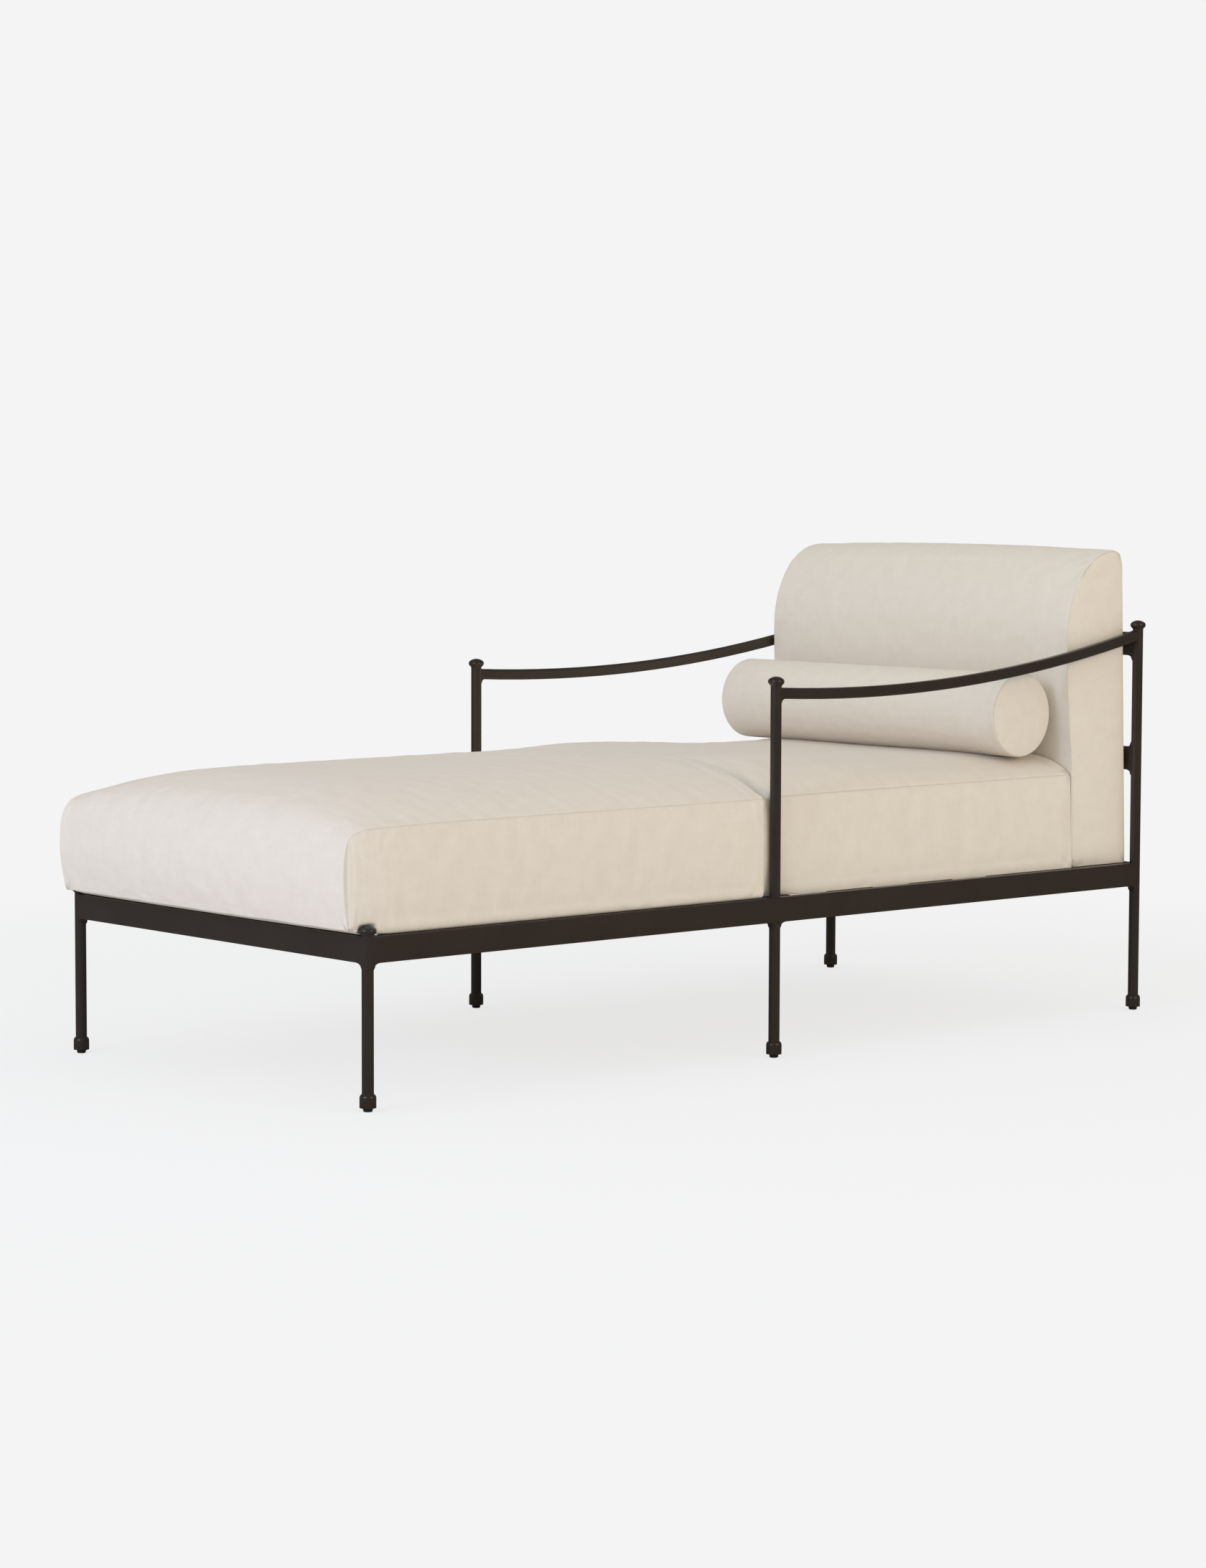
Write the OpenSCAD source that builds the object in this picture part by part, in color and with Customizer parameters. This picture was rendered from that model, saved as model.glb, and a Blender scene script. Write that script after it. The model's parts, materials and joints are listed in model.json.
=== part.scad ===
// Chaise longue: a welded tube frame with a seat cushion, a back cushion and a bolster.
// X runs across the seat, Y from the foot end to the head end, and Z up from the floor.
// The origin lies on the floor, under the middle of the whole piece.

/* [Frame plan] */
// Distance between the left and the right legs, centre to centre
leg_pitch_x = 755; // [680:1:840]
// Distance from the foot legs to the middle legs
middle_pitch = 822; // [760:1:880]
// Distance from the foot legs to the head legs
head_pitch = 1692; // [1600:1:1800]

/* [Frame heights] */
// Height of the rail tops above the floor
rail_top = 258.7; // [230:0.1:300]
// Height of the middle posts
middle_post_top = 596.5; // [560:0.5:640]
// Height of the head posts
head_post_top = 666.5; // [640:0.5:720]
// Drop from the head posts' tops to the upper back rail
upper_back_rail_drop = 5; // [4:0.5:12]
// Height of the top edge of the lower back rail
lower_back_rail_top = 461.5; // [400:0.5:520]

/* [Frame sections] */
// Outer diameter of the legs and posts
tube_d = 18; // [17.5:0.5:21]
// Wall of the legs and posts
tube_wall = 1.8; // [1.2:0.1:2.4]
// Height of the rails
rail_h = 40; // [32:1:48]
// Thickness of the rails
rail_t = 17; // [14:0.5:17]
// Wall of the rails
rail_wall = 1.8; // [1.2:0.1:2.2]
// Rounding of the rails' long edges
rail_edge_r = 2.2; // [2:0.1:3]
// Radius of the hollow corners welded between rails and legs
weld_r = 6; // [5:0.5:12]

/* [Arm rails] */
// Height of an arm rail's section
arm_h = 18; // [14:0.5:22]
// Thickness of an arm rail's section
arm_t = 15; // [12:0.5:16]
// Rounding of the arm rails' long edges
arm_edge_r = 4; // [2:0.5:5]
// Radius that the top of an arm rail is bent to
arm_bend_r = 3150; // [2400:50:4000]
// Drop from a middle post's top to the arm rail
arm_drop_middle = 1.5; // [1:0.5:6]
// Drop from a head post's top to the point on the post's axis that the arm rail aims at
arm_drop_head = -0.5; // [-1:0.5:6]
// Radius of the hollow corner under an arm rail
arm_weld_r = 5; // [3:0.5:8]

/* [Finials] */
// Diameter of a finial's cap
finial_d = 26.5; // [24:0.5:32]
// Height of a finial above its post
finial_h = 16; // [15:0.5:20]
// Height of the widest place of a finial's cap
finial_rim_z = 8; // [7:0.5:9]
// Rounding of a finial's rim
finial_rim_r = 5.4; // [3:0.1:6]
// Depth that a finial's spigot reaches into its post
spigot_h = 9; // [6:0.5:14]

/* [Feet] */
// Diameter of a foot cup
cup_d = 25; // [24:0.5:32]
// Height of a foot cup
cup_h = 20.4; // [18:0.1:28]
// Radius of a foot cup's shoulder
cup_shoulder_r = 7; // [4:0.5:8]
// Thickness of a foot cup's floor
cup_floor = 6; // [4:0.5:8]
// Height of a glide's pad
pad_h = 5.5; // [5:0.5:10]
// Diameter of a glide's pad at its top
pad_top_d = 15.6; // [15:0.1:20]
// Diameter of a glide's pad on the floor
pad_foot_d = 13.4; // [12:0.1:14.8]
// Diameter of a glide's stud
stud_d = 8; // [6:0.5:9]
// Length of a glide's stud above the floor
stud_top = 34; // [30:0.5:45]

/* [Slats] */
// Width of a slat
slat_w = 40; // [30:1:60]
// Height of a slat's section
slat_h = 10; // [8:0.5:16]
// Wall of a slat
slat_wall = 1.2; // [0.8:0.1:1.6]

/* [Seat cushion] */
// Reach of the seat cushion's wide part beyond the legs' centre lines
seat_overhang = 4; // [-20:0.5:8]
// Gap between the seat cushion's narrow part and the middle posts
seat_post_gap = 4; // [3.5:0.1:12]
// How far the shoulders of the seat cushion stop in front of the middle posts' centre
seat_notch_setback = 17; // [13:0.5:30]
// Height of the seat cushion's side seam above its base
seat_seam_h = 160; // [120:1:190]
// Crown of the seat cushion above its side seams, at the foot end
seat_crown_foot = 53; // [30:1:70]
// Crown of the seat cushion above its side seams, at the head end
seat_crown_head = 34; // [20:1:50]
// Reach of the seat cushion's side seams beyond the foot legs
seat_nose = 42; // [20:1:60]
// Extra reach of the foot face at its middle
seat_nose_crown = 12; // [4:1:24]

/* [Back cushion] */
// Gap between the back cushion's side seams and the posts
back_side_gap = 6.5; // [6:0.5:30]
// Thickness of the back cushion at its foot
back_t = 143; // [110:1:175]
// Height of the back cushion's side panel above its base
back_h = 546; // [480:1:600]
// Radius of the back cushion's top front curve, along Y
back_curve_y = 115; // [80:1:130]
// Radius of the back cushion's top front curve, along Z
back_curve_z = 147; // [120:1:190]
// Crown of the back cushion's front face
back_crown = 16; // [8:1:24]
// Crown of the back cushion's top
back_top_crown = 8; // [4:1:16]

/* [Bolster] */
// Diameter of the bolster
bolster_d = 143; // [110:1:160]
// Gap between the bolster's end seams and the posts
bolster_side_gap = 31; // [26:0.5:60]
// Swell of the bolster's middle over its end seams
bolster_swell = 0.5; // [0.5:0.5:12]
// Dome of the bolster's ends
bolster_dome = 7; // [4:0.5:12]
// Gap between the bolster and the back cushion's crown
bolster_back_gap = 3; // [1:0.5:20]

/* [Hidden] */

// Number of slats, one for each slat in the list above
slat_count = 9;
ROWS = ["foot", "middle", "head"];
SIDES = ["left", "right"];
frame_colour = [0.22, 0.19, 0.16];
pad_colour = [0.06, 0.06, 0.07];
stud_colour = [0.62, 0.62, 0.6];
cloth_colour = [0.86, 0.82, 0.75];

// Clearances: soft pieces on their supports, turned pieces in tubes, and threads
soft_gap = 0.3;
tube_fit = 0.1;
thread_fit = 0.1;
pad_gap = 0.3;
// Thickness that the thin ends of a welded corner keep, and its step in from the rail's flat
weld_tip = 0.4;
weld_inset = 0.5;
// Steps of the round surfaces
round_steps = 64;
bend_steps = 720;

// Places of the legs, counted from the foot legs and then from the origin
seat_nose_reach = seat_nose + seat_nose_crown;
foot_y = -(head_pitch + finial_d / 2 - seat_nose_reach) / 2;
row_y = [foot_y, foot_y + middle_pitch, foot_y + head_pitch];
side_x = [-leg_pitch_x / 2, leg_pitch_x / 2];
post_inner_x = (leg_pitch_x - tube_d) / 2;
finial_base = [rail_top, middle_post_top, head_post_top];
rail_bottom = rail_top - rail_h;
cup_bottom = pad_h + pad_gap;
socket_floor = cup_bottom + cup_floor;

// Arc through the arm rail's two ends, with its centre above them
arm_from = [row_y[1], middle_post_top - arm_drop_middle];
arm_to = [row_y[2], head_post_top - arm_drop_head];
arm_chord = arm_to - arm_from;
arm_rise = sqrt(pow(arm_bend_r, 2) - pow(norm(arm_chord) / 2, 2));
arm_centre = (arm_from + arm_to) / 2 + arm_rise * [-arm_chord[1], arm_chord[0]] / norm(arm_chord);
arm_start = asin((arm_from[0] - arm_centre[0]) / arm_bend_r);
arm_end = asin((arm_to[0] - arm_centre[0]) / arm_bend_r);

// Rounded rectangle about the origin
module round_rect(w, h, r) {
  square([w - 2 * r, h], center = true);
  square([w, h - 2 * r], center = true);
  for (x = [-1, 1], y = [-1, 1])
    translate([x * (w / 2 - r), y * (h / 2 - r)]) circle(r = r, $fn = round_steps);
}

// Section of a rectangular tube about the origin
module tube_section(w, h, wall, r) {
  difference() {
    round_rect(w, h, r);
    round_rect(w - 2 * wall, h - 2 * wall, max(r - wall, 0.4));
  }
}

// Corner points of a rounded rectangle about the origin. Its corners are short straight
// steps, which an exact bent tube can be cut across without a gap.
function stepped_rect(w, h, r, steps) = [
  for (corner = [0 : 3], i = [0 : steps])
    let (a = 90 * (corner + i / steps), x = sign(cos(45 + 90 * corner)), y = sign(sin(45 + 90 * corner)))
      [x * (w / 2 - r) + r * cos(a), y * (h / 2 - r) + r * sin(a)]
];

// Upright cylinder on an axis, between two heights
module upright(d, from, to) {
  translate([0, 0, from]) cylinder(d = d, h = to - from, $fn = round_steps);
}

// Upright tube on an axis, between two heights
module upright_tube(from, to) {
  difference() {
    upright(tube_d, from, to);
    upright(tube_d - 2 * tube_wall, from - 1, to + 1);
  }
}

// Hollow welded corner in the YZ plane. It fills the angle under a rail beside an upright
// whose axis is at y = 0, towards +Y. The rail's lower edge is at z = 0, and the corner
// reaches into the rail's own wall.
module weld_corner(r, thick, sunk) {
  reach = tube_d / 2 + r;
  rotate([90, 0, 90]) linear_extrude(thick, center = true) difference() {
    translate([0, -r]) square([reach, r + sunk]);
    translate([reach + weld_tip, -r - weld_tip]) circle(r = r, $fn = round_steps);
  }
}

// One rail of the seat frame along +Y, from upright to upright, with the seat on its -X side.
// Its ends are coped to the uprights and mitred on the inside.
module seat_rail(length, crossing = []) {
  weld_t = rail_t - 2 * (rail_edge_r + weld_inset);
  sunk = rail_wall / 2;
  mitre = [
    [rail_t / 2, 0], [rail_t / 2, length], [0, length],
    [-rail_t / 2, length - rail_t / 2], [-rail_t / 2, rail_t / 2], [0, 0]
  ];
  difference() {
    union() {
      intersection() {
        translate([0, 0, rail_top - rail_h / 2]) rotate([-90, 0, 0])
          linear_extrude(length) tube_section(rail_t, rail_h, rail_wall, rail_edge_r);
        translate([0, 0, rail_bottom - 1]) linear_extrude(rail_h + 2) polygon(mitre);
      }
      translate([0, 0, rail_bottom]) weld_corner(weld_r, weld_t, sunk);
      translate([0, length, rail_bottom]) mirror([0, 1, 0]) weld_corner(weld_r, weld_t, sunk);
      for (y = crossing, turn = [0, 1])
        translate([0, y, rail_bottom]) mirror([0, turn, 0]) weld_corner(weld_r, weld_t, sunk);
    }
    for (y = [0, length]) translate([0, y, 0]) upright(tube_d, rail_bottom - weld_r - 1, rail_top + 1);
    for (y = crossing) translate([0, y, 0]) upright(tube_d, rail_bottom - weld_r - 1, rail_bottom);
  }
}

module foot_rail() {
  color(frame_colour) translate([side_x[0], row_y[0], 0]) rotate([0, 0, -90]) seat_rail(leg_pitch_x);
}

module head_rail() {
  color(frame_colour) translate([side_x[1], row_y[2], 0]) rotate([0, 0, 90]) seat_rail(leg_pitch_x);
}

module side_rail_left() {
  color(frame_colour) translate([side_x[0], row_y[2], 0]) rotate([0, 0, 180])
    seat_rail(head_pitch, [head_pitch - middle_pitch]);
}

module side_rail_right() {
  color(frame_colour) translate([side_x[1], row_y[0], 0]) seat_rail(head_pitch, [middle_pitch]);
}

// A leg stands in its foot cup. The middle legs end under the side rails,
// the foot legs run up through the corner and the head legs carry on as posts.
module leg(row, side) {
  top = [rail_top, rail_bottom, head_post_top];
  color(frame_colour) translate([side_x[side], row_y[row], 0]) upright_tube(socket_floor, top[row]);
}

module arm_post(side) {
  color(frame_colour) translate([side_x[side], row_y[1], 0]) upright_tube(rail_top, middle_post_top);
}

// Arm rail, bent to an arc and coped to the middle post and the head post
module arm_rail(side) {
  weld_z = arm_from[1] - arm_h;
  weld_t = arm_t - 2 * (arm_edge_r + weld_inset);
  color(frame_colour) difference() {
    union() {
      translate([side_x[side], arm_centre[0], arm_centre[1]]) rotate([0, 90, 0]) rotate([0, 0, arm_start])
        rotate_extrude(angle = arm_end - arm_start, $fn = bend_steps)
          translate([arm_bend_r + arm_h / 2, 0]) polygon(stepped_rect(arm_h, arm_t, arm_edge_r, 4));
      translate([side_x[side], row_y[1], weld_z]) weld_corner(arm_weld_r, weld_t, arm_h / 3);
    }
    for (row = [1, 2]) translate([side_x[side], row_y[row], 0])
      upright(tube_d, rail_top, head_post_top + arm_h);
  }
}

// Rail between the head posts, with hollow welded corners below it and, if asked for, above it.
// Its front corners are cut away for the arm rails above the height arm_cut.
module back_rail(top, corners_above, arm_cut) {
  weld_t = rail_t - 2 * (rail_edge_r + weld_inset);
  sunk = rail_wall / 2;
  color(frame_colour) difference() {
    translate([side_x[1], row_y[2], 0]) rotate([0, 0, 90]) {
      translate([0, 0, top - rail_h / 2]) rotate([-90, 0, 0])
        linear_extrude(leg_pitch_x) tube_section(rail_t, rail_h, rail_wall, rail_edge_r);
      for (end = [0, 1]) translate([0, end * leg_pitch_x, top - rail_h]) mirror([0, end, 0])
        weld_corner(weld_r, weld_t, sunk);
      if (corners_above) for (end = [0, 1])
        translate([0, end * leg_pitch_x, top]) mirror([0, end, 0]) mirror([0, 0, 1])
          weld_corner(weld_r, weld_t, sunk);
    }
    for (x = side_x) translate([x, row_y[2], 0]) {
      upright(tube_d, top - rail_h - weld_r - 1, top + weld_r + 1);
      translate([-arm_t / 2, -rail_t, arm_cut]) cube([arm_t, rail_t, rail_h]);
    }
  }
}

// The arm rails end at a slope, so their lower edge stays above this height at the back rail
module back_rail_upper() {
  arm_end_drop = rail_t * tan(arm_end) / 2;
  back_rail(head_post_top - upper_back_rail_drop, false, arm_to[1] - arm_h / cos(arm_end) - arm_end_drop);
}

module back_rail_lower() { back_rail(lower_back_rail_top, true, head_post_top); }

// Mushroom finial: a cone rises from the post to a rounded rim, and a shallow dome closes it
module finial(row, side) {
  rim_x = finial_d / 2 - finial_rim_r;
  dome_h = finial_h - finial_rim_z - finial_rim_r;
  dome_drop = (pow(rim_x, 2) - pow(dome_h, 2)) / (2 * dome_h);
  dome_r = dome_h + dome_drop + finial_rim_r;
  dome_edge = rim_x * dome_r / (dome_r - finial_rim_r);
  neck_h = 1.2;
  cone_angle = 37;
  cone_top = [rim_x + finial_rim_r * cos(cone_angle), finial_rim_z - finial_rim_r * sin(cone_angle)];
  color(frame_colour) translate([side_x[side], row_y[row], finial_base[row]]) {
    rotate_extrude($fn = round_steps) {
      square([tube_d / 2, neck_h + 0.1]);
      polygon([[0, neck_h], [tube_d / 2, neck_h], cone_top, [0, cone_top[1]]]);
      translate([0, finial_rim_z - finial_rim_r]) square([rim_x, 2 * finial_rim_r]);
      translate([rim_x, finial_rim_z]) circle(r = finial_rim_r, $fn = round_steps);
      intersection() {
        translate([0, finial_h - dome_r]) circle(r = dome_r, $fn = 2 * round_steps);
        translate([0, finial_rim_z]) square([dome_edge, finial_h]);
      }
    }
    upright(tube_d - 2 * tube_wall - 2 * tube_fit, -spigot_h, 0.1);
  }
}

// Bell-shaped cup: the leg stands in its socket, and a glide's stud screws through its floor
module foot_cup(row, side) {
  socket_r = tube_d / 2 + tube_fit;
  shoulder_x = cup_d / 2 - cup_shoulder_r;
  shoulder_z = cup_h - sqrt(pow(cup_shoulder_r, 2) - pow(max(socket_r - shoulder_x, 0), 2));
  color(frame_colour) translate([side_x[side], row_y[row], cup_bottom])
    rotate_extrude($fn = round_steps) difference() {
      union() {
        square([cup_d / 2, shoulder_z]);
        square([max(shoulder_x, socket_r - tube_fit), cup_h]);
        intersection() {
          translate([shoulder_x, shoulder_z]) circle(r = cup_shoulder_r, $fn = round_steps);
          square([cup_d / 2, cup_h]);
        }
      }
      translate([0, cup_floor]) square([socket_r, cup_h]);
      translate([0, -1]) square([stud_d / 2 + thread_fit, cup_h]);
    }
}

// Round plastic pad of a levelling glide, moulded round the foot of its stud
module glide_pad(row, side) {
  edge = 0.6;
  stud_foot = pad_h / 3;
  color(pad_colour) translate([side_x[side], row_y[row], 0]) difference() {
    rotate_extrude($fn = round_steps) polygon([
      [0, 0], [pad_foot_d / 2 - edge, 0], [pad_foot_d / 2, edge], [pad_top_d / 2, pad_h], [0, pad_h]
    ]);
    upright(stud_d, stud_foot, pad_h + 1);
  }
}

module glide_stud(row, side) {
  color(stud_colour) translate([side_x[side], row_y[row], 0]) upright(stud_d, pad_h / 3, stud_top);
}

// Flat tube welded between the side rails, flush with their tops
module slat(number) {
  length = leg_pitch_x - rail_t;
  y = row_y[0] + (number - 0.5) * head_pitch / slat_count;
  color(frame_colour) translate([-length / 2, y, rail_top - slat_h / 2]) rotate([90, 0, 90])
    linear_extrude(length) tube_section(slat_w, slat_h, slat_wall, slat_wall + 0.4);
}

// Smooth step from 0 to 1 between two values
function ease(from, to, value) =
  let (t = min(max((value - from) / (to - from), 0), 1)) t * t * (3 - 2 * t);

// Straight blend between two values
function blend(from, to, t) = from + (to - from) * t;

// Crowned share of a bulge at a place across a cushion, 1 in the middle and 0 at its seams
function crowned(u, power) = 1 - pow(abs(u), power);

// Even steps between two values, without the two
function steps_between(from, to, count) = [for (i = [1 : count]) blend(from, to, i / (count + 1))];

// Closed skin over a box of grid lines. shape(u, v, w) gives the point for a line across,
// a line along and a line up; faces are triangles and every point is used once.
module grid_skin(shape, us, vs, ws) {
  nu = len(us) - 1;
  nv = len(vs) - 1;
  nw = len(ws) - 1;
  around = concat(
    [for (i = [0 : nu]) [i, 0]],
    [for (k = [1 : nw]) [nu, k]],
    [for (i = [nu - 1 : -1 : 0]) [i, nw]],
    [for (k = [nw - 1 : -1 : 1]) [0, k]]
  );
  n = len(around);
  rings = [for (v = vs, p = around) shape(us[p[0]], v, ws[p[1]])];
  caps = [for (v = [vs[0], vs[nv]], k = [1 : nw - 1], i = [1 : nu - 1]) shape(us[i], v, ws[k])];
  function place_around(i, k) =
    k == 0 ? i : i == nu ? nu + k : k == nw ? 2 * nu + nw - i : 2 * (nu + nw) - k;
  function cap_point(cap, i, k) =
    i == 0 || i == nu || k == 0 || k == nw
      ? cap * nv * n + place_around(i, k)
      : len(rings) + (cap * (nw - 1) + k - 1) * (nu - 1) + i - 1;
  side_quads = [
    for (j = [0 : nv - 1], r = [0 : n - 1])
      let (a = j * n + r, b = j * n + (r + 1) % n) [a, b, b + n, a + n]
  ];
  front_quads = [
    for (i = [0 : nu - 1], k = [0 : nw - 1])
      [cap_point(0, i, k), cap_point(0, i, k + 1), cap_point(0, i + 1, k + 1), cap_point(0, i + 1, k)]
  ];
  rear_quads = [
    for (i = [0 : nu - 1], k = [0 : nw - 1])
      [cap_point(1, i, k), cap_point(1, i + 1, k), cap_point(1, i + 1, k + 1), cap_point(1, i, k + 1)]
  ];
  faces = [
    for (q = concat(side_quads, front_quads, rear_quads), half = [0, 1])
      half == 0 ? [q[0], q[1], q[2]] : [q[0], q[2], q[3]]
  ];
  polyhedron(points = concat(rings, caps), faces = faces, convexity = 6);
}

// Seat cushion. Lengths along Y are counted from the foot legs.
seat_base = rail_top + soft_gap;
seat_hem = 5;
seat_top_edge_y = -seat_nose + 12;
seat_top_edge_drop = 16;
seat_bottom_edge_y = -seat_nose + 15;
seat_nose_bulge = seat_nose + (seat_top_edge_y + seat_bottom_edge_y) / 2;
seat_head_top = seat_base + seat_seam_h + seat_crown_head;
seat_side_bulge = 3;
seat_corner_pull = 13;
seat_front_half_w = leg_pitch_x / 2 + seat_overhang;
seat_rear_half_w = post_inner_x - seat_post_gap;
seat_notch_depth = seat_front_half_w - seat_rear_half_w;
seat_notch = [middle_pitch - seat_notch_setback - 12, middle_pitch - seat_notch_setback];
// The crown falls away to the side seams more sharply at the head end
seat_crown_power = [3.5, 6];
// The lower edge is drawn in round the foot finials by this much
seat_hem_pull = 3;
seat_corner_hem_pull = max(seat_front_half_w - leg_pitch_x / 2 + finial_d / 2 + 1, 0);

function seat_half_w(y) =
  seat_front_half_w - seat_corner_pull * exp(-(y + seat_nose) / 35)
  - seat_notch_depth * ease(seat_notch[0], seat_notch[1], y);

function seat_crown(y) =
  seat_crown_foot * (1 - exp(-(y + seat_nose) / 60))
  - (seat_crown_foot - seat_crown_head) * ease(middle_pitch + 30, middle_pitch + 520, y);

function seat_crown_share(u, y) =
  let (headward = ease(middle_pitch + 30, middle_pitch + 520, y))
  crowned(u, blend(seat_crown_power[0], seat_crown_power[1], headward));

function seat_seam_z(y) =
  seat_base + seat_seam_h - seat_top_edge_drop * exp(-(y - seat_top_edge_y) / 12);

function seat_hem_in(y) =
  seat_hem_pull + seat_corner_hem_pull * (1 - ease(finial_d / 2 + 12, finial_d / 2 + 55, y));

function seat_shape(u, y, w) =
  let (
    is_nose = y == seat_top_edge_y,
    low = max(1 - w / 0.2, 0),
    edge = w == 0 && (abs(u) == 1 || is_nose || y == seat_rear_y) ? seat_hem : 0,
    bottom = seat_base + edge,
    top = seat_seam_z(y) + seat_crown(y) * seat_crown_share(u, y),
    nose_y = blend(seat_bottom_edge_y, seat_top_edge_y, w) - seat_nose_bulge * sin(180 * w),
    nose_out = seat_nose_crown * crowned(u, 2) * (1 - ease(seat_top_edge_y, 120, y)),
    rear_in = back_crown * crowned(u, back_crown_power) * ease(seat_rear_y - 200, seat_rear_y, y),
    half_w = seat_half_w(y) + seat_side_bulge * sin(180 * w) - seat_hem_in(y) * pow(low, 0.7)
  )
  [
    u * half_w,
    foot_y + (is_nose ? nose_y : y) - nose_out * (0.35 + 0.65 * sin(180 * w)) - rear_in,
    blend(bottom, top, w)
  ];

cushion_lines_x = [-1, -0.94, -0.84, -0.66, -0.44, -0.22, 0, 0.22, 0.44, 0.66, 0.84, 0.94, 1];

module seat_cushion() {
  lines_y = concat(
    [for (reach = [0, 16, 38, 66, 110, 170]) seat_top_edge_y + reach],
    steps_between(seat_top_edge_y + 170, seat_notch[0] - 30, 4),
    [seat_notch[0] - 30, seat_notch[0], seat_notch[0] + 4, seat_notch[0] + 8, seat_notch[1]],
    steps_between(seat_notch[1] + 20, seat_rear_y - 90, 6),
    [seat_rear_y - 50, seat_rear_y - 14, seat_rear_y]
  );
  lines_z = [0, 0.08, 0.14, 0.3, 0.5, 0.7, 0.88, 1];
  color(cloth_colour)
    grid_skin(function (u, y, w) seat_shape(u, y, w), cushion_lines_x, lines_y, lines_z);
}

// Back cushion. It stands on the slats and leans on the back rails.
back_base = rail_top + soft_gap;
back_hem = 5;
back_rear_crown = 2;
back_crown_power = 2.6;
back_rear_y = head_pitch - rail_t / 2 - soft_gap - back_rear_crown;
back_front_y = back_rear_y - back_t;
back_half_w = post_inner_x - back_side_gap;
back_side_bulge = 4.5;
back_top_z = back_base + back_h;
back_curve_base = back_top_z - back_curve_z;
// The front leans out by this much above the seat, and the rear face leans in towards its top
back_front_lean = 14;
back_rear_lean = 17;
back_rear_round = 7;
back_edge_drop = [back_curve_z * 0.2, 9];
back_arch = 17;
seat_rear_y = back_front_y - 2 * soft_gap;

function back_front(z) =
  let (
    above = max(z - back_curve_base, 0) / back_curve_z,
    below = min(max((back_curve_base - z) / (back_curve_base - seat_head_top), 0), 1)
  )
  back_front_y - back_front_lean * (1 - below * below)
  + back_curve_y * (1 - sqrt(1 - above * above));

function back_lean_in(z) = back_rear_lean * (z - back_base) / back_h;

function back_rear(z) =
  back_rear_y - back_lean_in(z) - back_rear_round * ease(back_top_z - 30, back_top_z, z);

function back_shape(u, v, w) =
  let (
    edge = w == 0 && (abs(u) == 1 || v == 0 || v == 1) ? back_hem : 0,
    base = back_base + edge,
    front_z = blend(base, back_top_z - back_edge_drop[0], w),
    rear_z = blend(base, back_top_z - back_edge_drop[1], w),
    arch = back_arch * sin(180 * pow(v, 1.5)) * pow(w, 12),
    top_crown = back_top_crown * crowned(u, 2.4) * pow(w, 6),
    front_crown = back_crown * crowned(u, back_crown_power) * (1 - 0.5 * ease(0.8, 1, w)) * (1 - v),
    rear_crown = (back_lean_in(rear_z) + back_rear_crown) * crowned(u, 2) * (1 - ease(0.75, 1, w)) * v
  )
  [
    u * (back_half_w + back_side_bulge * sin(180 * v)),
    foot_y + blend(back_front(front_z), back_rear(rear_z), v) - front_crown + rear_crown,
    blend(front_z, rear_z, v) + arch + top_crown
  ];

// One grid line runs just above the seat cushion, where the front begins to lean out
module back_cushion() {
  seat_line = (seat_head_top + 2 - back_base) / (back_h - back_edge_drop[0]);
  lines_z = [0, 0.08, 0.2, seat_line, 0.46, 0.58, 0.69, 0.78, 0.86, 0.93, 1];
  color(cloth_colour)
    grid_skin(function (u, v, w) back_shape(u, v, w), cushion_lines_x, [0, 0.25, 0.5, 0.75, 1], lines_z);
}

// Bolster. It lies on the crown of the seat cushion, in front of the back cushion.
bolster_z = seat_head_top + soft_gap + bolster_d / 2;
bolster_y = back_front(bolster_z) - back_crown - bolster_back_gap - bolster_d / 2;
bolster_half_l = post_inner_x - bolster_side_gap;

module bolster() {
  seam_r = bolster_d / 2 - bolster_swell;
  end_steps = 4;
  body_steps = 12;
  dome = [for (i = [0 : end_steps - 1]) let (t = i / end_steps)
    [seam_r * t, bolster_half_l + bolster_dome * (1 - t * t)]];
  body = [for (i = [0 : body_steps]) let (t = 1 - 2 * i / body_steps)
    [seam_r + bolster_swell * (1 - pow(abs(t), 5)), bolster_half_l * t]];
  far_dome = [for (i = [end_steps - 1 : -1 : 0]) [dome[i][0], -dome[i][1]]];
  color(cloth_colour) translate([0, foot_y + bolster_y, bolster_z]) rotate([0, 90, 0])
    rotate_extrude($fn = round_steps) polygon(concat(dome, body, far_dome));
}

foot_rail();
head_rail();
side_rail_left();
side_rail_right();
for (row = [0 : 2], side = [0, 1])
  leg(row, side);
for (side = [0, 1]) arm_post(side);
for (side = [0, 1]) arm_rail(side);
back_rail_upper();
back_rail_lower();
for (row = [0 : 2], side = [0, 1])
  finial(row, side);
for (row = [0 : 2], side = [0, 1])
  foot_cup(row, side);
for (row = [0 : 2], side = [0, 1])
  glide_pad(row, side);
for (row = [0 : 2], side = [0, 1])
  glide_stud(row, side);
for (number = [1 : slat_count]) slat(number);
seat_cushion();
back_cushion();
bolster();
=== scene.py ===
"""Chaise longue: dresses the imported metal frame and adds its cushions, seams and welds."""
import json
import logging
import math
from dataclasses import dataclass, field
from enum import Enum
from typing import Callable

import bmesh
import bpy
import numpy as np
from mathutils import Matrix, Vector, noise
from mathutils.bvhtree import BVHTree


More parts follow.
